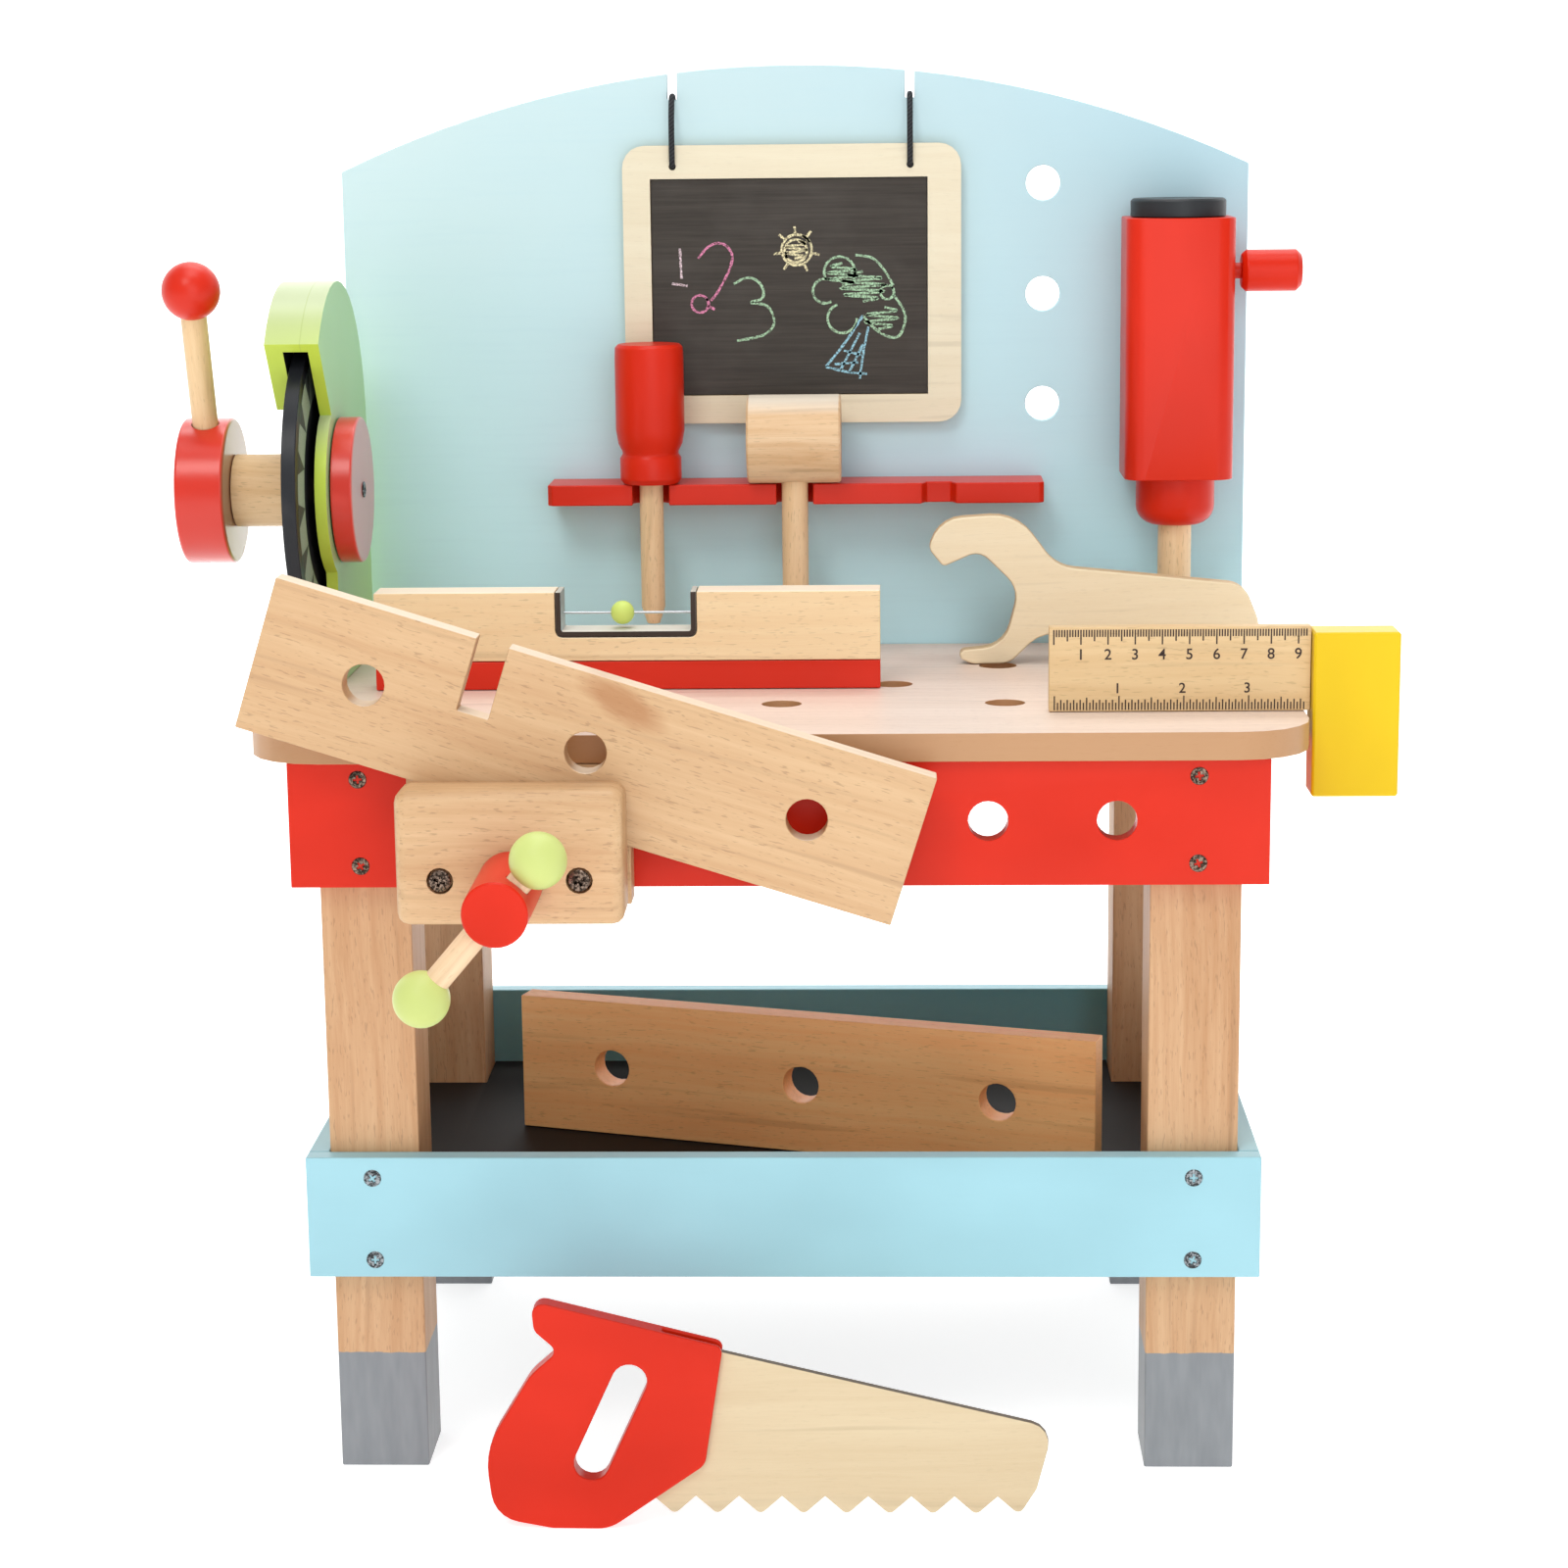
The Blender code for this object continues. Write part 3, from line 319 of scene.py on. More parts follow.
# The sizes of the wood's and the paint's features, along and across the grain in metres.
SWAY, BANDS, STREAKS, FIBRES = (0.12, 0.05), (0.30, 0.016), (0.09, 0.0028), (0.012, 0.00045)
RAYS, VEINS, PORES = (0.0044, 0.0006), (0.22, 0.0045), (0.0012, 0.0007)
PAINT_STREAKS, PAINT_CLOUDS, PAINT_PEEL = (0.03, 0.0016), (0.08, 0.05), (0.0011, 0.0011)
SWAY_REACH = (0.0, 0.01, 0.01)
BAND_SHARE, STREAK_SHARE, FIBRE_SHARE = 0.45, 0.40, 0.15
VEIN_SHARE, RAY_SHARE, END_SHARE = 0.45, 0.36, 0.55


def timber(graph, light, dark, direction, seed, figure, fleck):
    """The colour and the bump height of sanded wood: soft bands, streaks, fibres and dark rays."""
    space = grain_space(graph, direction, seed)
    sway = graph.noise(stretched(graph, space, *SWAY), detail=1.0)
    swayed = graph.vector("MULTIPLY_ADD", sway, SWAY_REACH, space)
    bands = graph.noise(stretched(graph, swayed, *BANDS))
    streaks = graph.noise(stretched(graph, swayed, *STREAKS), detail=4.0, roughness=0.6)
    fibres = graph.noise(stretched(graph, swayed, *FIBRES))
    rays = graph.noise(stretched(graph, swayed, *RAYS), detail=1.0)
    veins = graph.noise(stretched(graph, swayed, *VEINS))
    tone = graph.math("MULTIPLY", graph.spread(bands, 0.35, 0.65), BAND_SHARE)
    for feature, share in ((streaks, STREAK_SHARE), (fibres, FIBRE_SHARE)):
        part = graph.math("MULTIPLY", graph.spread(feature, 0.35, 0.65), share)
        tone = graph.math("ADD", tone, part)
    tone = graph.math("MULTIPLY", tone, figure, True)
    colour = graph.mix(tone, light, dark)
    vein = graph.spread(veins, 0.62, 0.74, 0.0, VEIN_SHARE * figure)
    colour = graph.mix(vein, colour, scaled(dark, 0.62))
    mark = graph.spread(rays, 0.63, 0.70, 0.0, RAY_SHARE * fleck)
    colour = graph.mix(mark, colour, scaled(dark, 0.45))
    height = graph.math("SUBTRACT", graph.math("MULTIPLY", fibres, 0.5), mark)
    on_end = graph.spread(graph.math("ABSOLUTE", graph.facing(direction)), 0.8, 0.95)
    end = graph.math("MULTIPLY", on_end, END_SHARE)
    pores = graph.noise(stretched(graph, swayed, *PORES))
    end_tone = graph.mix(graph.spread(pores, 0.35, 0.65), dark, scaled(dark, 0.72))
    return graph.mix(end, colour, end_tone), height


WOOD_BUMP, WOOD_DEPTH, WOOD_ROUGH = 0.35, 0.00015, 0.5
COAT_ROUGH = 0.3


def wood(name, light, dark, direction, seed, figure=1.0, fleck=1.0):
    """Sanded bare wood. figure and fleck say how strong its bands and its rays are."""
    graph = Graph(name)
    colour, height = timber(graph, srgb(*light), srgb(*dark), direction, seed, figure, fleck)
    bump = graph.bump(height, WOOD_BUMP, WOOD_DEPTH)
    rough = graph.spread(height, -0.2, 0.6, WOOD_ROUGH + 0.08, WOOD_ROUGH - 0.06)
    return graph.finish(Base_Color=colour, Roughness=rough, Normal=bump)


def paint(name, colour, direction, seed, roughness=0.34, grain=0.25, coat=0.06, faces=()):
    """Brushed paint on wood: the grain shows faintly, and edges are a little lighter, partly as
    thinner paint and partly as a painted highlight.

    faces gives other colours to the faces that look a given way, as (direction, colour) pairs; most
    callers use it for painted shade, painted highlights and painted reflections on one side.
    """
    graph = Graph(name)
    space = grain_space(graph, direction, seed)
    streaks = graph.noise(stretched(graph, space, *PAINT_STREAKS), detail=3.0)
    clouds = graph.noise(stretched(graph, space, *PAINT_CLOUDS))
    peel = graph.noise(stretched(graph, space, *PAINT_PEEL), detail=1.0)
    base = srgb(*colour)
    deeper, lighter, thin_paint_and_edge_highlight = scaled(base, 0.88), scaled(base, 1.06, 0.004), scaled(base, 1.12, 0.03)
    tone = graph.mix(graph.spread(clouds, 0.3, 0.7), deeper, lighter)
    tone = graph.mix(graph.spread(streaks, 0.55, 0.8, 0.0, grain * 0.4), tone, deeper)
    # painted light and shade by facing direction, on most of the pieces that pass faces
    for way, other in faces:
        tone = graph.mix(graph.spread(graph.facing(way), 0.45, 0.9), tone, srgb(*other))
    # edges lighter: partly thinner paint, partly a painted highlight along every convex edge
    edge = graph.add("NewGeometry", POINTINESS_OUT)
    tone = graph.mix(graph.spread(edge, 0.53, 0.60, 0.0, 0.3), tone, thin_paint_and_edge_highlight)
    lines = graph.math("MULTIPLY", streaks, grain)
    height = graph.math("ADD", graph.math("MULTIPLY", peel, 0.5), lines)
    bump = graph.bump(height, 0.25, 0.00012)
    rough = graph.spread(clouds, 0.2, 0.8, roughness - 0.04, roughness + 0.05)
    return graph.finish(
        Base_Color=tone, Roughness=rough, Normal=bump,
        Specular_IOR_Level=0.17, Coat_Weight=coat, Coat_Roughness=COAT_ROUGH,
    )


RED, BLUE, LIME = (207, 35, 4), (151, 197, 208), (190, 212, 76)
YELLOW, BLACK = (225, 188, 0), (36, 38, 42)
BEECH, BEECH_DARK = (208, 169, 129), (182, 133, 89)
PALE, PALE_DARK = (211, 177, 135), (189, 145, 102)
PLY, PLY_DARK = (236, 222, 192), (222, 202, 164)
GLUE, CORE = (176, 140, 98), (226, 202, 160)
FOOT_LINE, FOOT_SOFT, FOOT_WOBBLE = 45.6 * MM, 0.1 * MM, 0.25 * MM
FOOT_GREY, FOOT_PALE = (124, 128, 132), (134, 138, 142)


def leg_wood(seed):
    """Beech with the foot dipped in grey paint up to a straight line."""
    graph = Graph(f"beech_leg_{seed}")
    colour, height = timber(graph, srgb(*BEECH), srgb(*BEECH_DARK), Z, seed, 1.0, 0.9)
    depth = graph.axis("Z", graph.place())
    wobble = graph.noise(stretched(graph, grain_space(graph, Z, seed), 0.02, 0.004), detail=2.0)
    sway = graph.spread(wobble, 0.3, 0.7, -FOOT_WOBBLE, FOOT_WOBBLE)
    line = graph.math("ADD", depth, sway)
    dipped = graph.spread(line, FOOT_LINE + FOOT_SOFT, FOOT_LINE - FOOT_SOFT)
    grey = graph.mix(graph.spread(wobble, 0.3, 0.7), srgb(*FOOT_GREY), srgb(*FOOT_PALE))
    tone = graph.mix(dipped, colour, grey)
    strength = graph.spread(dipped, 0.0, 1.0, WOOD_BUMP, 0.12)
    bump = graph.bump(height, strength, WOOD_DEPTH)
    rough = graph.spread(dipped, 0.0, 1.0, 0.52, 0.42)
    return graph.finish(Base_Color=tone, Roughness=rough, Normal=bump)


def tabletop_wood():
    """Scrubbed beech, a little pink, with painted light: paler on top where the light falls, and
    darker and warmer round its edge.
    """
    graph = Graph("tabletop_beech")
    pale, height = timber(graph, srgb(236, 216, 202), srgb(216, 192, 176), X, 21, 0.8, 0.7)
    warm = graph.mix(0.9, pale, srgb(176, 126, 74))
    facing = graph.axis("Z", graph.normal())
    # painted light: upward faces take the pale lit tone, the other faces the darker warm tone
    tone = graph.mix(graph.spread(facing, 0.6, 0.95), warm, pale)
    bump = graph.bump(height, WOOD_BUMP, WOOD_DEPTH)
    return graph.finish(
        Base_Color=tone, Roughness=0.42, Normal=bump, Coat_Weight=0.1, Coat_Roughness=COAT_ROUGH
    )


SLOT_X, SLOT_R, SLOT_MORE = (-189.0, -179.6), 67.0, 0.12
SEAM_X, SEAM_HALF, SEAM_SHARE = -182.2, 0.22, 0.35
# the slot's colour is painted shade for the narrow slot round the blade
SEAM_GREEN, SLOT_SHADE = (150, 168, 84), (24, 27, 28)


def guard_paint():
    """Lime paint with a painted highlight on top and a painted reflection of the blue panel on the
    right face, with a glue line, and painted shade in the blade's slot.
    """
    # painted light: the top is painted pale as a highlight, the right face mint as a reflection of
    # the blue panel
    sides = ((Z, (182, 194, 152)), (X, (172, 216, 154)))
    graph = Graph.of(paint("guard_lime", LIME, Z, 71, grain=0.1, coat=0.15, faces=sides))
    tone = graph.base()
    place = graph.place()
    x = graph.axis("X", place)
    axle = middle_of("saw_blade")
    flat = graph.vector("MULTIPLY", place, (0.0, 1.0, 1.0))
    away = graph.add(
        "VectorMath", 1, {"operation": "DISTANCE"}, i0=flat, i1=(0.0, axle.y, axle.z)
    )
    middle, half = at(sum(SLOT_X) / 2, 0, 0).x, (SLOT_X[1] - SLOT_X[0]) / 2 * MM
    across = graph.math("ABSOLUTE", graph.math("SUBTRACT", x, middle))
    between = graph.math("LESS_THAN", across, half + SLOT_MORE * MM)
    near = graph.math("LESS_THAN", away, (SLOT_R + SLOT_MORE) * MM)
    from_seam = graph.math("ABSOLUTE", graph.math("SUBTRACT", x, at(SEAM_X, 0, 0).x))
    on_seam = graph.math("LESS_THAN", from_seam, SEAM_HALF * MM)
    tone = graph.mix(graph.math("MULTIPLY", on_seam, SEAM_SHARE), tone, srgb(*SEAM_GREEN))
    # painted shade: the faces inside the blade's slot turn dark
    inside = graph.math("MULTIPLY", between, near)
    return graph.finish(Base_Color=graph.mix(inside, tone, srgb(*SLOT_SHADE)))


PANEL_CLOUDS, PANEL_STREAKS, PANEL_HALF = (0.15, 0.08), (0.04, 0.002), 0.18
PANEL_LIGHT_START_Z, PANEL_LIGHT_FULL_Z = 0.50, 0.32
PANEL_LIT_LEFT, PANEL_SHADED_RIGHT, PANEL_LOW_LIGHT = (198, 220, 221), (175, 206, 216), (190, 238, 250)
PANEL_CLOUD, PANEL_STREAK = (178, 218, 230), (170, 206, 218)


def panel_paint():
    """Thin blue paint over the panel, with painted light: lighter to the left as if lit from there,
    and brighter and bluer towards the bottom to lift the shade behind the tabletop.
    """
    graph = Graph("panel_blue")
    place = graph.place()
    space = grain_space(graph, X, 47)
    clouds = graph.noise(stretched(graph, space, *PANEL_CLOUDS))
    streaks = graph.noise(stretched(graph, space, *PANEL_STREAKS), detail=3.0)
    # painted light: the left side is painted lighter than the right, as a light falloff from the
    # left
    across = graph.spread(graph.axis("X", place), -PANEL_HALF, PANEL_HALF)
    tone = graph.mix(across, srgb(*PANEL_LIT_LEFT), srgb(*PANEL_SHADED_RIGHT))
    # painted light: brighter and bluer towards the bottom, lifting the shade behind the tabletop
    down = graph.spread(graph.axis("Z", place), PANEL_LIGHT_START_Z, PANEL_LIGHT_FULL_Z, 0.0, 0.6)
    tone = graph.mix(down, tone, srgb(*PANEL_LOW_LIGHT))
    tone = graph.mix(graph.spread(clouds, 0.35, 0.7, 0.0, 0.25), tone, srgb(*PANEL_CLOUD))
    tone = graph.mix(graph.spread(streaks, 0.5, 0.8, 0.0, 0.12), tone, srgb(*PANEL_STREAK))
    bump = graph.bump(streaks, 0.2, 0.0001)
    return graph.finish(Base_Color=tone, Roughness=0.5, Normal=bump, Specular_IOR_Level=0.35)


def tinted(material, way, colour, amount):
    """The same material with the faces that look one way drawn towards a lighter colour: painted
    light on that side.
    """
    graph = Graph.of(material)
    share = graph.spread(graph.facing(way), 0.6, 0.9, 0.0, amount)
    return graph.finish(Base_Color=graph.mix(share, graph.base(), srgb(*colour)))


def heartwood(material, centre, way, long, wide, colour, amount):
    """The same wood with one darker streak along its grain. The sizes are in metres."""
    graph = Graph.of(material)
    from_centre = graph.vector("SUBTRACT", graph.place(), centre)
    along = graph.add("Mapping", 0, (), Vector=from_centre, Rotation=along_x(way))
    rough = graph.noise(stretched(graph, along, 0.012, 0.0016), detail=3.0)
    shift = graph.vector("MULTIPLY_ADD", rough, (0.0, 0.0, 0.6 * wide), along)
    oval = graph.vector("MULTIPLY", shift, (1 / long, 0.0, 1 / wide))
    away = graph.add("VectorMath", 1, {"operation": "LENGTH"}, i0=oval)  # 1 at the streak's edge
    share = graph.spread(away, 1.0, 0.45, 0.0, amount)
    return graph.finish(Base_Color=graph.mix(share, graph.base(), srgb(*colour)))


def plywood(name, node, face, dark, seed, glue=GLUE, core=CORE):
    """Three-layer plywood that stands across Y: its edges show the layers and the glue lines."""
    graph = Graph(name)
    colour, height = timber(graph, srgb(*face), srgb(*dark), X, seed, 0.6, 0.2)
    low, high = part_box(node)
    thick = graph.axis("Y", graph.place())
    part = graph.spread(thick, low.y, high.y, 0.0, 3.0)
    wave = graph.math("PINGPONG", part, 0.5)
    layer = graph.spread(wave, 0.12, 0.34, 0.0, 1.0)
    facing = graph.axis("Y", graph.normal())
    edge = graph.spread(graph.math("ABSOLUTE", facing), 0.75, 0.45)
    shade = graph.mix(layer, srgb(*glue), srgb(*core))
    tone = graph.mix(edge, colour, shade)
    bump = graph.bump(height, 0.3, 0.00012)
    return graph.finish(Base_Color=tone, Roughness=0.56, Normal=bump)


SLATE_DARK, SLATE_WIPED, SLATE_DUST = (52, 48, 44), (70, 65, 60), (92, 88, 84)
SLATE_UNDER, CORD_DARK, CORD_PALE = (66, 61, 56), (14, 16, 20), (48, 50, 54)
CHALK_SCALE, METAL_SCALE, INK_SCALE, TWIST_SCALE, TWIST_TURN = 1900.0, 1100.0, 1200.0, 260.0, 0.7


def slate():
    """Chalkboard paint, wiped sideways many times."""
    graph = Graph("slate_paint")
    space = grain_space(graph, X, 3)
    wipes = graph.noise(stretched(graph, space, 0.05, 0.0012), detail=4.0, roughness=0.65)
    dust = graph.noise(stretched(graph, space, 0.03, 0.02), detail=3.0)
    tone = graph.mix(graph.spread(wipes, 0.3, 0.75), srgb(*SLATE_DARK), srgb(*SLATE_WIPED))
    tone = graph.mix(graph.spread(dust, 0.5, 0.8, 0.0, 0.25), tone, srgb(*SLATE_DUST))
    bump = graph.bump(wipes, 0.3, 0.0001)
    return graph.finish(Base_Color=tone, Roughness=0.75, Normal=bump, Specular_IOR_Level=0.3)


def chalk(name, colour):
    """Chalk that skips over the board's tooth, so the board shows between its crumbs."""
    graph = Graph(name)
    crumbs = graph.noise(graph.place(), scale=CHALK_SCALE, detail=3.0, roughness=0.75)
    tone = graph.mix(graph.spread(crumbs, 0.40, 0.56), srgb(*SLATE_UNDER), srgb(*colour))
    bump = graph.bump(crumbs, 0.6, 0.0002)
    return graph.finish(Base_Color=tone, Roughness=0.95, Normal=bump, Specular_IOR_Level=0.1)


def metal(name, colour, roughness, dirt):
    """Plated steel with dull spots. dirt is how strong they are."""
    graph = Graph(name)
    patina = graph.noise(graph.place(), scale=METAL_SCALE, detail=3.0, roughness=0.7)
    base = srgb(*colour)
    tone = graph.mix(graph.spread(patina, 0.42, 0.55, 0.0, dirt), base, scaled(base, 0.12))
    rough = graph.spread(patina, 0.3, 0.7, roughness, roughness + 0.2)
    bump = graph.bump(patina, 0.2, 0.0001)
    return graph.finish(Base_Color=tone, Roughness=rough, Metallic=1.0, Normal=bump)


def cord_fabric():
    """Round black cord with a fine twist."""
    graph = Graph("black_cord")
    turned = graph.add("Mapping", 0, (), Vector=graph.place(), Rotation=(0.0, TWIST_TURN, 0.0))
    bands = {"bands_direction": "Z"}
    twist = graph.add("TexWave", 1, bands, Vector=turned, Scale=TWIST_SCALE, Distortion=1.0)
    tone = graph.mix(twist, srgb(*CORD_DARK), srgb(*CORD_PALE))
    bump = graph.bump(twist, 0.7, 0.0003)
    return graph.finish(Base_Color=tone, Roughness=0.85, Normal=bump)


def ink(name, colour):
    """Printing ink, a little worn."""
    graph = Graph(name)
    wear = graph.noise(graph.place(), scale=INK_SCALE, detail=3.0)
    base = srgb(*colour)
    tone = graph.mix(graph.spread(wear, 0.5, 0.75), base, scaled(base, 1.2, 0.015))
    return graph.finish(Base_Color=tone, Roughness=0.6)


# ---------------------------------------------------------------- pieces


def place_piece(obj, body, material, slot, *nodes):
    """Puts a piece on its body in its material, in place of CAD nodes if any are named."""
    obj.data.materials.clear()
    obj.data.materials.append(material)
    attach(obj, body)
    if nodes:
        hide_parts(*nodes)
    return obj


SAME_PLACE, FLAT_ANGLE, EDGE_ANGLE, EDGE_STEPS = 2e-6, math.radians(0.6), math.radians(32), 3
BALL_AROUND, BALL_UP = 64, 40


def clean_copy(node):
    """The node's solid with whole flat faces and shared corners, as a new mesh."""
    work = bmesh.new()
    work.from_mesh(frame["nodes"][node].data)
    bmesh.ops.remove_doubles(work, verts=work.verts, dist=SAME_PLACE)
    bmesh.ops.dissolve_limit(
        work, angle_limit=FLAT_ANGLE, verts=work.verts, edges=work.edges, delimit=set()
    )
    smoothed(work)
    mesh = mesh_of(work, node + "_shape")
    for layer in [a for a in mesh.attributes if a.name == "custom_normal"]:
        mesh.attributes.remove(layer)
    return mesh


def refined(node, material, width):
    """The node's solid with softly rounded edges. width is that of the rounding, in mm."""
    mesh = clean_copy(node)
    obj = added(node + "_look", mesh)
    mesh.set_sharp_from_angle(angle=EDGE_ANGLE)
    bevel = obj.modifiers.new("soft_edges", "BEVEL")
    bevel.width = width * MM
    bevel.segments = EDGE_STEPS
    bevel.limit_method = "ANGLE"
    bevel.angle_limit = EDGE_ANGLE
    bevel.harden_normals = True
    bevel.miter_outer = "MITER_ARC"
    return place_piece(obj, BODY_OF[node], material, SLOT_OF[node], node)


def sphere(node, material):
    """A turned ball in place of the node's."""
    low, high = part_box(node)
    work = bmesh.new()
    bmesh.ops.create_uvsphere(
        work, u_segments=BALL_AROUND, v_segments=BALL_UP, radius=(high.z - low.z) / 2
    )
    bmesh.ops.translate(work, verts=work.verts, vec=(low + high) / 2)
    smoothed(work)
    obj = added(node + "_look", mesh_of(work, node + "_look"))
    return place_piece(obj, BODY_OF[node], material, SLOT_OF[node], node)


# painted shade on the tray boards' inner faces, darker and more saturated where the tabletop shades
# them
INNER_SHADE_BLUE, BACK_SHADE_BLUE = (104, 176, 196), (90, 158, 174)
LEGS = ("front_left_leg", "front_right_leg", "rear_left_leg", "rear_right_leg")
RED_BOARDS = (  # name, grain
    ("front_apron", X), ("rear_apron", X), ("left_apron", Y), ("right_apron", Y),
    ("tool_rack", X),
)
TRAY_BOARDS = (  # name, grain, the way its inner face looks and that face's painted shade
    ("tray_front", X, Y, INNER_SHADE_BLUE), ("tray_back", X, FRONT, BACK_SHADE_BLUE),
    ("tray_left", Y, X, INNER_SHADE_BLUE), ("tray_right", Y, LEFT, INNER_SHADE_BLUE),
)


def frame_pieces():
    """The bench itself."""
    for seed, node in enumerate(LEGS):
        refined(node, leg_wood(seed + 11), 0.7)
    refined("tabletop", tabletop_wood(), 1.0)
    for seed, (node, way) in enumerate(RED_BOARDS):
        refined(node, paint(node + "_red", RED, way, seed + 31), 0.6)
    for seed, (node, way, inward, shaded) in enumerate(TRAY_BOARDS):
        blue = paint(
            node + "_blue", BLUE, way, seed + 41,
            roughness=0.42, grain=0.3, coat=0.1, faces=((inward, shaded),),
        )
        refined(node, blue, 0.6)
    refined("back_panel", panel_paint(), 0.5)
    black = paint("floor_black", (20, 20, 20), X, 48, roughness=0.6, grain=0.5, coat=0.0)
    refined("tray_floor", black, 0.3)


# How the vise's bar, the two planks and the crank's lever lie.
BAR_ANGLE, PLANK_TILT = math.radians(49.6), math.radians(17.5)
TRAY_PLANK_TURN, LEVER_LEAN = math.radians(17.4), math.radians(17.0)
HEART_PLACE, HEART_WAY, HEART_SIZE = (-52.0, -26.0, 302.0), (0.85, 0, -0.53), (0.020, 0.007)


def vise_pieces():
    """The vise: jaws, dowels, spindle, knob and bar."""
    beech = wood("jaw_beech", (213, 179, 137), (189, 145, 101), X, 51, 1.0, 1.0)
    refined("vise_fixed_jaw", beech, 0.5)
    refined("vise_moving_jaw", beech, 0.8)
    dowel = wood("rod_beech", BEECH, BEECH_DARK, Y, 52, 1.0, 1.0)
    for node in ("vise_guide_rod_left", "vise_guide_rod_right", "vise_spindle"):
        refined(node, dowel, 0.4)
    refined("vise_knob", paint("knob_red", RED, Y, 53), 0.5)
    way = (math.cos(BAR_ANGLE), 0, math.sin(BAR_ANGLE))
    refined("vise_bar", wood("bar_beech", (232, 204, 168), (216, 178, 134), way, 54, 0.8, 0.5), 0.3)
    lime = paint("ball_lime", (200, 212, 128), Z, 55, roughness=0.38, grain=0.1)
    sphere("vise_ball_upper", lime)
    sphere("vise_ball_lower", lime)


def plank_pieces():
    """The plank in the vise and the one in the tray."""
    way = (math.cos(PLANK_TILT), 0, -math.sin(PLANK_TILT))
    pine = wood("clamped_pine", PALE, PALE_DARK, way, 61, 0.8, 1.0)
    # painted light: the plank's top is painted paler, as lit from above
    tinted(pine, Z, (250, 236, 216), 0.6)
    heartwood(pine, at(*HEART_PLACE), HEART_WAY, *HEART_SIZE, (170, 116, 70), 0.75)
    refined("clamped_plank", pine, 0.5)
    way = (math.cos(TRAY_PLANK_TURN), -math.sin(TRAY_PLANK_TURN), 0)
    # painted light: the tray plank is coloured lighter and oranger than the clamped plank, standing
    # in for warm bounce light under the tabletop
    pine = wood("tray_pine_bounce_lit", (255, 200, 134), (248, 172, 106), way, 62, 0.9, 0.9)
    refined("tray_plank", pine, 0.9)


def saw_pieces():
    """The crank saw on the left end."""
    refined("saw_guard", guard_paint(), 0.5)
    refined("saw_blade", paint("blade_black", BLACK, X, 72, roughness=0.35, grain=0.1), 0.4)
    refined("saw_axle", wood("axle_beech", (228, 196, 150), (206, 166, 116), X, 73), 0.3)
    for node, name, seed, right_face in (
        ("crank_disc", "crank_disc_red", 76, (168, 112, 84)),
        # painted reflection: this right face is red paint lightened to pink, as a glint of the
        # white surround
        ("axle_end_disc", "end_disc_red", 77, (206, 132, 128)),
    ):
        faces = ((X, right_face),)
        red = paint(name, RED, X, seed, roughness=0.3, grain=0.2, coat=0.8, faces=faces)
        refined(node, red, 0.4)
    way = (0, -math.sin(LEVER_LEAN), math.cos(LEVER_LEAN))
    beech = wood("lever_beech", (232, 204, 160), (214, 176, 126), way, 75, 0.8, 0.6)
    refined("crank_lever", beech, 0.3)
    red = paint("crank_red", RED, X, 74, roughness=0.42, grain=0.1, coat=0.3)
    sphere("crank_ball", red)


def board_pieces():
    """The chalkboard without its cords."""
    pale = plywood("board_ply", "chalkboard_frame", (225, 217, 192), (212, 198, 168), 81)
    refined("chalkboard_frame", pale, 0.6)
    refined("chalkboard_slate", slate(), 0.2)


def tool_pieces():
    """The loose tools."""
    red = paint("tool_red", RED, Z, 91)
    dowel = wood("tool_beech", (242, 214, 174), (224, 186, 140), Z, 92, 0.9, 0.9)
    refined("screwdriver_handle", red, 0.3)
    refined("screwdriver_shaft", dowel, 0.3)
    beech = wood("hammer_beech", (234, 208, 172), (210, 172, 128), X, 93, 1.1, 0.7)
    # painted light: the hammer head's top is painted paler and cooler, as lit from above
    refined("hammer_head", tinted(beech, Z, (232, 226, 214), 0.65), 0.4)
    refined("hammer_handle", dowel, 0.3)
    refined("drill_body", paint("drill_red", RED, Z, 94), 0.6)
    black = paint("cap_black", (44, 47, 50), X, 95, roughness=0.42, grain=0.0, coat=0.1)
    refined("drill_cap", black, 0.3)
    refined("drill_side_handle", red, 0.4)
    refined("drill_chuck", red, 0.3)
    refined("drill_bit", dowel, 0.3)
    refined("wrench", plywood("wrench_ply", "wrench", PLY, PLY_DARK, 96), 0.9)
    beech = wood("rule_beech", (221, 193, 146), (205, 169, 119), X, 97, 0.8, 0.8)
    refined("square_blade", beech, 0.3)
    yellow = paint("stock_yellow", YELLOW, Z, 98, roughness=0.4, grain=0.15, coat=0.15)
    refined("square_stock", yellow, 0.5)
    beech = wood("level_beech", (238, 214, 172), (226, 190, 142), X, 99, 0.8, 0.9)
    # painted light: the level's top is painted paler, as lit from above
    refined("level_body", tinted(beech, Z, (248, 238, 224), 0.6), 0.4)
    refined("level_base", paint("level_red", RED, X, 100), 0.4)
    # painted light: the channel's floor is painted pale as a reflection of the white surround, and
    # its side walls lighter and darker grey as lit and shaded sides
    inside = ((Z, (222, 218, 206)), (X, (186, 198, 196)), (LEFT, (150, 156, 152)))
    brown = paint(
        "channel_brown", (60, 50, 44), X, 101, roughness=0.5, grain=0.0, coat=0.0, faces=inside
    )
    refined("level_channel", brown, 0.2)
    refined("level_wire", metal("wire_steel", (190, 196, 200), 0.3, 0.1), 0.05)
    sphere("level_bead", paint("bead_lime", (200, 218, 112), Z, 102, roughness=0.38, grain=0.1))
    refined("handsaw_handle", paint("saw_red", RED, X, 103), 0.7)
    burnt = ((92, 80, 70), (132, 118, 102))
    blade = plywood("saw_ply", "handsaw_blade", (212, 194, 160), (196, 172, 134), 104, *burnt)
    refined("handsaw_blade", blade, 0.2)


# ---------------------------------------------------------------- screws

HEAD_AROUND, HEAD_DOME, HEAD_SUNK = 40, 0.14, 0.35
ARM_TOP, ARM_BOTTOM = (1.3, -0.4, 0.36), (0.66, 0.28, 0.20)  # length, depth, width


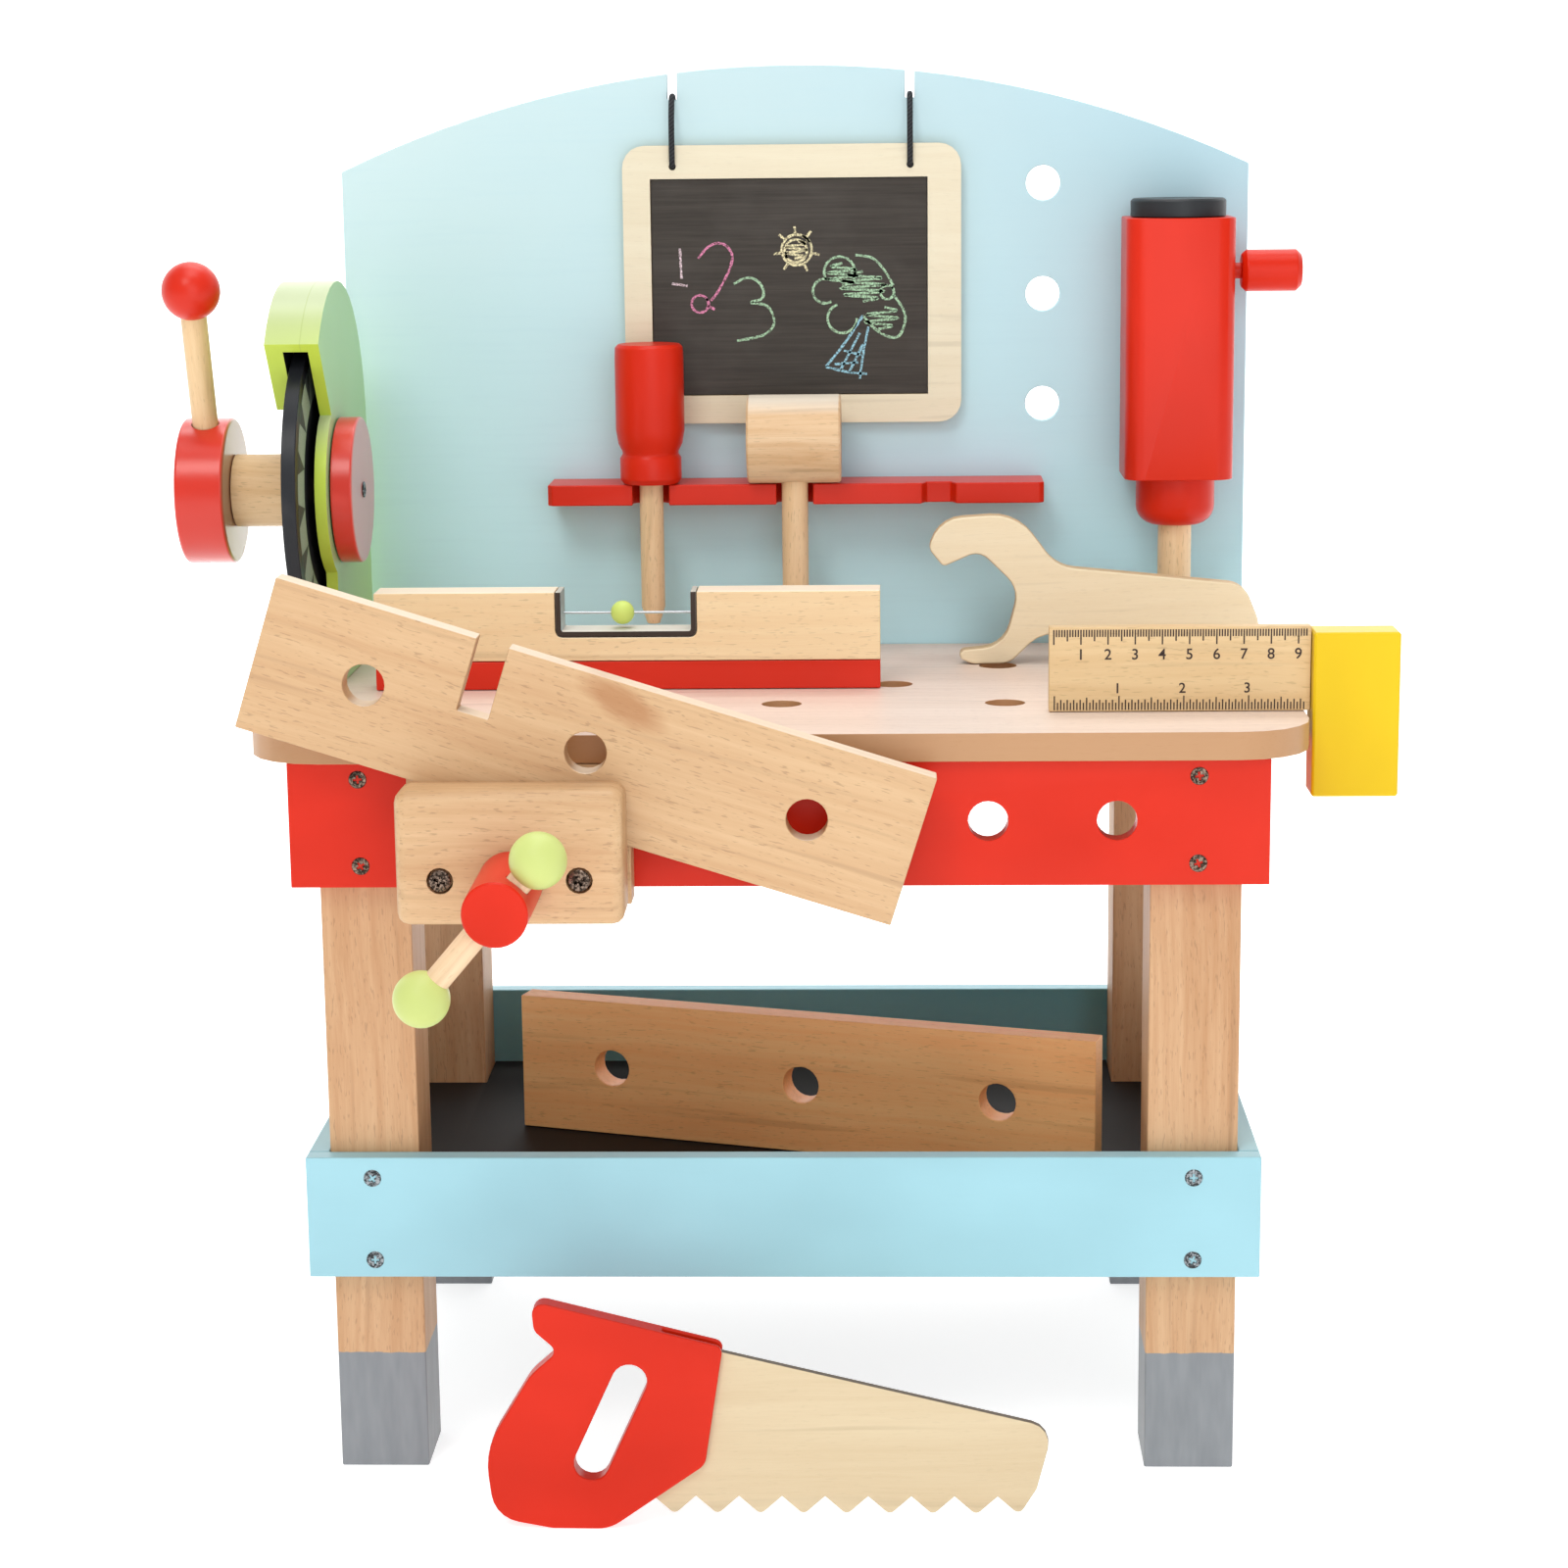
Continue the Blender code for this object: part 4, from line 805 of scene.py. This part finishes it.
def screw_mesh(radius):
    """A countersunk head, a little domed, with a cross recess. It faces -Y from its rim at Y 0."""
    dome = radius * HEAD_DOME
    rings = (
        (radius * 0.72, radius * HEAD_SUNK), (radius, 0.0),
        (radius * 0.93, -dome * 0.55), (radius * 0.6, -dome),
    )
    work = bmesh.new()
    loops = [
        [
            work.verts.new((r * math.cos(t), y, r * math.sin(t)))
            for t in (2 * math.pi * i / HEAD_AROUND for i in range(HEAD_AROUND))
        ]
        for r, y in rings
    ]
    tip = work.verts.new((0, -dome * 1.1, 0))
    for first, second in zip(loops, loops[1:]):
        for i in range(HEAD_AROUND):
            j = (i + 1) % HEAD_AROUND
            work.faces.new((first[i], first[j], second[j], second[i]))
    for i in range(HEAD_AROUND):
        work.faces.new((loops[-1][i], loops[-1][(i + 1) % HEAD_AROUND], tip))
    work.faces.new(loops[0])
    bmesh.ops.recalc_face_normals(work, faces=work.faces)
    head = added("screw_head", mesh_of(work, "screw_head"))
    arms = []
    for turn in (0.0, math.pi / 2):
        arm = bmesh.new()
        bmesh.ops.create_cube(arm, size=1.0)
        for vert in arm.verts:
            length, depth, width = ARM_BOTTOM if vert.co.y > 0 else ARM_TOP
            vert.co.x *= radius * length
            vert.co.z *= radius * width
            vert.co.y = radius * depth
        crosswise = Matrix.Rotation(turn, 3, "Y")
        bmesh.ops.rotate(arm, verts=arm.verts, cent=(0, 0, 0), matrix=crosswise)
        cutter = added("screw_arm", mesh_of(arm, "screw_arm"))
        boolean = head.modifiers.new("recess", "BOOLEAN")
        boolean.operation, boolean.object, boolean.solver = "DIFFERENCE", cutter, "EXACT"
        arms.append(cutter)
    cut = evaluated_mesh(head)
    cut.shade_smooth()
    cut.set_sharp_from_angle(angle=math.radians(28))
    for helper in [head, *arms]:
        bpy.data.objects.remove(helper)
    return cut


def screw(name, shape, place, facing, turn, material, body, slot, *nodes):
    """One screw head, seen from facing, with its cross turned by turn degrees."""
    mesh = shape.copy()
    way = Vector(FRONT).rotation_difference(Vector(facing)).to_matrix().to_4x4()
    spin = Matrix.Rotation(math.radians(turn), 4, "Y")
    mesh.transform(Matrix.Translation(place) @ way @ spin)
    return place_piece(added(name, mesh), body, material, slot, *nodes)


BOARD_SCREW_R, JAW_SCREW_R, AXLE_SCREW_R = 3.3 * MM, 3.9 * MM, 3.2 * MM
BOARD_SCREW_X, APRON_SCREW_Z, TRAY_SCREW_Z = 152.4, (236.3, 268.5), (85.2, 117.0)
SIDE_SCREW_Y = (24.8, 226.8)


def board_spots(boards, heights):
    """Where the screws sit on four boards round the bench, and the way each one looks."""
    front, back, left, right = boards
    spots = []
    for z in heights:
        for side in (-1, 1):
            x = at(side * BOARD_SCREW_X, 0, 0).x
            spots.append(((x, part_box(front)[0].y, z * MM), FRONT))
            spots.append(((x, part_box(back)[1].y, z * MM), Y))
        for y in SIDE_SCREW_Y:
            deep = at(0, y, 0).y
            spots.append(((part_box(left)[0].x, deep, z * MM), LEFT))
            spots.append(((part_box(right)[1].x, deep, z * MM), X))
    return spots


def screws():
    """Every screw head: 16 in the aprons, 16 in the tray, two in the jaw and one in the axle."""
    dark = metal("antique_steel", (140, 120, 106), 0.22, 1.0)
    zinc = metal("zinc_steel", (150, 156, 160), 0.26, 1.0)
    small, large = screw_mesh(BOARD_SCREW_R), screw_mesh(JAW_SCREW_R)
    turns = random.Random(5)
    aprons = ("front_apron", "rear_apron", "left_apron", "right_apron")
    trays = ("tray_front", "tray_back", "tray_left", "tray_right")
    for part, boards, heights, shade in (
        ("apron", aprons, APRON_SCREW_Z, dark), ("tray", trays, TRAY_SCREW_Z, zinc)
    ):
        for i, (place, facing) in enumerate(board_spots(boards, heights)):
            name, turn = f"{part}_screw_{i + 1}", turns.uniform(0, 90)
            screw(name, small, place, facing, turn, shade, "bench", "dark_steel")
    for side, turn in (("left", 20), ("right", 65)):
        node = f"vise_jaw_screw_{side}"
        middle = middle_of(node)
        place = Vector((middle.x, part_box("vise_moving_jaw")[0].y, middle.z))
        screw(node + "_look", large, place, FRONT, turn, dark, "vise_jaw", "dark_steel", node)
    node = "axle_end_screw"
    middle = middle_of(node)
    place = Vector((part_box(node)[0].x, middle.y, middle.z))
    shape = screw_mesh(AXLE_SCREW_R)
    screw(node + "_look", shape, place, X, 30, zinc, "saw_rotor", "dark_steel", node)


# ---------------------------------------------------------------- print, chalk and cords


def marks(name, shapes, to_space, material, body, slot):
    """Flat marks on a face, from outlines whose points to_space puts in the row frame."""
    work = bmesh.new()
    for shape in shapes:
        work.faces.new([work.verts.new(to_space(*point)) for point in shape])
    bmesh.ops.triangulate(work, faces=work.faces)
    return place_piece(added(name, mesh_of(work, name)), body, material, slot)


PRINT_LIFT, CHALK_LIFT, TOOTH_LIFT = 0.00005, 0.00006, 0.00003  # how far marks stand off


def on_front(node, lift):
    """What turns X and Z of the bench frame into a point just before the node's front face."""
    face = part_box(node)[0].y - lift
    return lambda x, z: (at(x, 0, 0).x, face, z * MM)


def bar(x, low, high, width):
    """The outline of an upright line."""
    half = width / 2
    return [(x - half, low), (x + half, low), (x + half, high), (x - half, high)]


FONT_SIZE, FONT_WEIGHT = 1.38, 0.07  # font size for a digit's height, and how much bolder it is


def digits(text, x, z, height):
    """Outlines of a number as flat triangles, centred on (x, z)."""
    curve = bpy.data.curves.new("digits", "FONT")
    curve.body, curve.align_x = text, "CENTER"
    curve.size, curve.offset = height * FONT_SIZE, FONT_WEIGHT
    helper = added("digits", curve)
    mesh = evaluated_mesh(helper)
    mesh.calc_loop_triangles()
    shapes = [
        [(x + mesh.vertices[i].co.x, z - height / 2 + mesh.vertices[i].co.y) for i in face.vertices]
        for face in mesh.loop_triangles
    ]
    bpy.data.objects.remove(helper)
    bpy.data.meshes.remove(mesh)
    return shapes


RULE_ZERO, RULE_HIGH, RULE_LOW = 101.6, 316.2, 286.1
INCH_ZERO, INCH, INCH_PARTS = 101.9, 23.9, 20
TICKS, TICK_LINE = 94, 0.55
INCH_TICKS, INCH_TICK_LINE = 78, 0.52
DIGIT_Z, DIGIT_HIGH = 307.1, 4.1
INCH_DIGIT_Z, INCH_DIGIT_HIGH, INCH_DIGIT_LEFT = 294.4, 3.9, 0.6


def rule_print():
    """Centimetres along the top edge and inches along the bottom edge, as on any wooden rule."""
    shapes = []
    for i in range(TICKS):
        length = 5.6 if i % 10 == 0 else 4.3 if i % 5 == 0 else 2.7
        shapes.append(bar(RULE_ZERO + i, RULE_HIGH - length, RULE_HIGH, TICK_LINE))
    for i in range(INCH_TICKS):
        length = 5.3 if i % 20 == 0 else 4.7 if i % 10 == 0 else 3.9 if i % 2 == 0 else 2.8
        x = INCH_ZERO + INCH * i / INCH_PARTS
        shapes.append(bar(x, RULE_LOW, RULE_LOW + length, INCH_TICK_LINE))
    for number in range(1, 10):
        shapes += digits(str(number), RULE_ZERO + 10 * number, DIGIT_Z, DIGIT_HIGH)
    for number in range(1, 4):
        x = INCH_ZERO + INCH * number - INCH_DIGIT_LEFT
        shapes += digits(str(number), x, INCH_DIGIT_Z, INCH_DIGIT_HIGH)
    brown = ink("rule_ink", (48, 26, 16))
    front = on_front("square_blade", PRINT_LIFT)
    marks("rule_print", shapes, front, brown, "square", "black_paint")


CURVE_PARTS, LINE_PARTS, ARC_PARTS, CHALK_LINE = 8, 6, 12, 1.05


def smooth(points):
    """A curve through the points."""
    ends = [points[0], *points, points[-1]]
    found = []
    for a, b, c, d in zip(ends, ends[1:], ends[2:], ends[3:]):
        for i in range(CURVE_PARTS):
            t = i / CURVE_PARTS
            found.append(tuple(
                0.5 * (
                    2 * q + (r - p) * t + (2 * p - 5 * q + 4 * r - s) * t * t
                    + (3 * q - p - 3 * r + s) * t ** 3
                )
                for p, q, r, s in zip(a, b, c, d)
            ))
    return [*found, points[-1]]


def stroke(points, rand):
    """A chalk stroke along the points, as four-sided shapes whose width wanders a little."""
    line = smooth(points) if len(points) > 2 else [
        tuple(p + (q - p) * i / LINE_PARTS for p, q in zip(*points))
        for i in range(LINE_PARTS + 1)
    ]
    sides = []
    for i, (x, z) in enumerate(line):
        before, after = line[max(i - 1, 0)], line[min(i + 1, len(line) - 1)]
        dx, dz = after[0] - before[0], after[1] - before[1]
        long = math.hypot(dx, dz) or 1.0
        half = CHALK_LINE / 2 * rand.uniform(0.75, 1.2)
        sides.append((
            (x - dz / long * half, z + dx / long * half),
            (x + dz / long * half, z - dx / long * half),
        ))
    return [[a[0], a[1], b[1], b[0]] for a, b in zip(sides, sides[1:])]


def arc(x, z, radius, start, sweep):
    """Points along an arc. start and sweep are in degrees."""
    turns = [math.radians(start + sweep * i / ARC_PARTS) for i in range(ARC_PARTS + 1)]
    return [(x + radius * math.cos(t), z + radius * math.sin(t)) for t in turns]


def zigzag(x, z, wide, high, rows, lean=0.0):
    """A scribble to and fro that fills an oval from the bottom up."""
    found = []
    for i in range(rows + 1):
        rise = -1 + 2 * i / rows
        reach = wide * math.sqrt(max(0.0, 1 - rise * rise)) * (1 if i % 2 else -1)
        found.append((x + reach + lean * rise * high, z + rise * high))
    return found


SUN, SUN_RAYS, RAY_ENDS = (3.4, 449.6), (52, 95, 139, 190, 236, 297, 348), (6.4, 9.6)
DRAWING = (  # name, colour and lines in the bench frame's X and Z: three numbers, a tree and a sun
    ("white", (236, 214, 222), (
        [(-44.6, 450.6), (-44.1, 438.4)],
        [(-48.1, 436.4), (-41.6, 435.4)],
    )),
    ("pink", (226, 140, 178), (
        [(-37.1, 446.5), (-33.6, 450.6), (-29.6, 452.6), (-25.6, 451.6), (-23.1, 447.5),
         (-24.1, 442.5), (-26.6, 437.4), (-29.6, 432.3), (-32.1, 429.3)],
        arc(-36.6, 428.0, 3.5, 20, 380),
        [(-33.4, 427.2), (-30.6, 425.7)],
    )),
    ("green", (176, 214, 178), (
        [(-22.6, 435.9), (-19.1, 437.9), (-15.6, 438.4), (-12.1, 436.4), (-10.4, 432.8),
         (-11.4, 429.8), (-15.6, 428.4), (-9.6, 427.2), (-6.8, 423.7), (-6.4, 419.1),
         (-9.6, 415.6), (-14.6, 414.0), (-21.6, 412.8)],
        arc(20.9, 440.4, 6.3, -30, 240),
        arc(14.9, 432.8, 5.0, 70, 230),
        arc(21.9, 421.6, 6.0, 110, 250),
        [(27.4, 447.3), (34.4, 446.0), (39.4, 440.9), (42.9, 434.8)],
        arc(40.4, 432.1, 2.8, 30, 380),
        [(43.0, 431.0), (46.9, 425.2), (47.7, 420.1), (44.9, 414.0), (39.4, 414.5),
         (34.4, 418.1), (30.4, 422.7)],
        zigzag(30.5, 434.5, 9.5, 6.0, 9),
        zigzag(22.0, 439.5, 6.5, 4.5, 7),
        zigzag(38.0, 421.5, 7.0, 4.5, 6, 0.3),
    )),
    ("blue", (160, 214, 232), (
        [(30.4, 422.7), (22.5, 411.0), (14.9, 401.8)],
        [(14.9, 401.8), (24.0, 399.6), (31.9, 398.8)],
        [(32.6, 418.1), (30.6, 408.0), (28.9, 396.8)],
        [(21.0, 400.4), (29.0, 415.5)],
        [(24.6, 399.6), (30.4, 411.0)],
        [(18.6, 402.8), (28.4, 403.6)],
        [(22.4, 408.4), (29.4, 406.6)],
    )),
    ("cream", (246, 236, 190), (
        arc(*SUN, 6.2, 30, 400),
        arc(3.0, 449.2, 4.6, 200, 380),
        zigzag(3.2, 449.6, 4.6, 3.6, 6, 0.2),
        *(
            [
                (SUN[0] + r * math.cos(math.radians(a)), SUN[1] + r * math.sin(math.radians(a)))
                for r in RAY_ENDS
            ]
            for a in SUN_RAYS
        ),
    )),
)


def chalk_drawing():
    """The drawing on the board, in five chalks and simpler strokes, laid out as on the object."""
    rand = random.Random(8)
    front = on_front("chalkboard_slate", CHALK_LIFT)
    for name, colour, lines in DRAWING:
        shapes = [shape for line in lines for shape in stroke(line, rand)]
        material = chalk(f"chalk_{name}", colour)
        marks(f"chalk_{name}", shapes, front, material, "chalkboard", "slate")


TEETH, RING_STEPS, RING_OUTER, RING_INNER = 16, 128, 0.90, 0.66
TOOTH_BACK, TOOTH_TIP = 0.45, 0.20


def blade_print():
    """A pale ring round the blade's right face, with dark teeth in it."""
    low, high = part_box("saw_blade")
    face, middle, radius = high.x + PRINT_LIFT, (low + high) / 2, (high.z - low.z) / 2
    green = ink("blade_print_green", (142, 160, 138))
    dark = ink("blade_print_dark", (52, 62, 56))

    def on_face(r, turn):
        return (r * radius * math.cos(turn), r * radius * math.sin(turn))

    def lifted(lift):
        return lambda p, q: (face + lift, middle.y + p, middle.z + q)

    turns = [2 * math.pi * i / RING_STEPS for i in range(RING_STEPS)]
    corners = ((RING_INNER, 0), (RING_OUTER, 0), (RING_OUTER, 1), (RING_INNER, 1))
    ring = [
        [on_face(r, pair[end]) for r, end in corners] for pair in zip(turns, turns[1:] + turns[:1])
    ]
    marks("blade_ring", ring, lifted(0.0), green, "saw_rotor", "black_paint")
    cuts = []
    for i in range(TEETH):
        start, step = 2 * math.pi * i / TEETH, 2 * math.pi / TEETH
        cuts.append([
            on_face(RING_OUTER, start), on_face(RING_OUTER, start + step * TOOTH_BACK),
            on_face(RING_INNER, start + step * TOOTH_TIP),
        ])
    marks("blade_teeth", cuts, lifted(TOOTH_LIFT), dark, "saw_rotor", "black_paint")


CORD_R, SLOT_BOTTOM, CORD_HOLE_Z = 1.2, 510.4, 483.7
PANEL_FRONT, PANEL_BACK, BOARD_FRONT, BOARD_BACK = 205.1, 209.8, 199.3, 204.8
KNOT_CORD_R, KNOT_SIZE, KNOT_STEPS, KNOT_TAIL = 0.95 * MM, 0.54 * MM, 72, 2.6 * MM


def cords():
    """The two cords that hold the chalkboard, each from its eye over the slot to a knot behind."""
    fabric = cord_fabric()
    ahead, over = BOARD_FRONT - CORD_R - 0.5, SLOT_BOTTOM + CORD_R + 0.4
    behind = PANEL_BACK + CORD_R + 0.6
    knot_y, knot_z = PANEL_BACK + 2.2 * CORD_R + 0.6, over - 9.8
    for side in ("left", "right"):
        node = f"chalkboard_cord_{side}"
        x = middle_of(node).x
        route = [  # Y and Z in the bench frame
            (BOARD_BACK - 1.0, CORD_HOLE_Z), (BOARD_BACK - 2.2, CORD_HOLE_Z),
            (ahead + 2.0, CORD_HOLE_Z), (ahead + 0.6, CORD_HOLE_Z + 1.0),
            (ahead, CORD_HOLE_Z + 3.0), (ahead, CORD_HOLE_Z + 6.0),
            (ahead, over - 18.0), (ahead, over - 14.0), (ahead + 0.8, over - 8.0),
            (PANEL_FRONT - 4.2, over - 3.4), (PANEL_FRONT - 2.4, over - 0.9),
            (PANEL_FRONT - 0.6, over), (behind - 1.6, over), (behind - 0.2, over - 1.2),
            (behind, over - 3.5), (knot_y - 0.5, over - 7.0), (knot_y, over - 9.0),
        ]
        curve = bpy.data.curves.new(node + "_look", "CURVE")
        curve.dimensions, curve.bevel_depth, curve.bevel_resolution = "3D", CORD_R * MM, 6
        curve.use_fill_caps, curve.resolution_u = True, 8
        spline = curve.splines.new("NURBS")
        spline.points.add(len(route) - 1)
        for point, (y, z) in zip(spline.points, route):
            point.co = (x, at(0, y, 0).y, z * MM, 1.0)
        spline.order_u, spline.use_endpoint_u = 4, True
        line = added(node + "_look", curve)
        place_piece(line, "chalkboard", fabric, "black_cord", node)
        knot = cord_knot(node + "_knot", Vector((x, at(0, knot_y, 0).y, knot_z * MM)), fabric)
        cord_length(line)


def cord_length(line):
    """The length of the curve's own centreline."""
    bare = line.data.copy()
    bare.bevel_depth = 0.0
    helper = added("centreline", bare)
    points = [v.co.copy() for v in evaluated_mesh(helper).vertices]
    bpy.data.objects.remove(helper)
    return sum((b - a).length for a, b in zip(points, points[1:]))


def cord_knot(name, middle, fabric):
    """A simple overhand knot with a short tail."""
    curve = bpy.data.curves.new(name, "CURVE")
    curve.dimensions, curve.bevel_depth, curve.bevel_resolution = "3D", KNOT_CORD_R, 5
    curve.use_fill_caps = True
    spline = curve.splines.new("POLY")
    spline.points.add(KNOT_STEPS - 1)
    for i, point in enumerate(spline.points):
        t = 2 * math.pi * i / KNOT_STEPS
        offset = Vector((
            math.sin(t) + 2 * math.sin(2 * t),
            math.cos(t) - 2 * math.cos(2 * t),
            -1.3 * math.sin(3 * t),
        ))
        point.co = (*(middle + offset * KNOT_SIZE), 1.0)
    spline.use_cyclic_u = True
    tail = curve.splines.new("POLY")
    tail.points.add(1)
    tail.points[0].co = (*middle, 1.0)
    tail.points[1].co = (*(middle - Vector((0, 0, KNOT_TAIL))), 1.0)
    return place_piece(added(name, curve), "chalkboard", fabric, "black_cord")


camera()
studio()
frame_pieces()
vise_pieces()
plank_pieces()
saw_pieces()
board_pieces()
tool_pieces()
screws()
rule_print()
chalk_drawing()
blade_print()
cords()
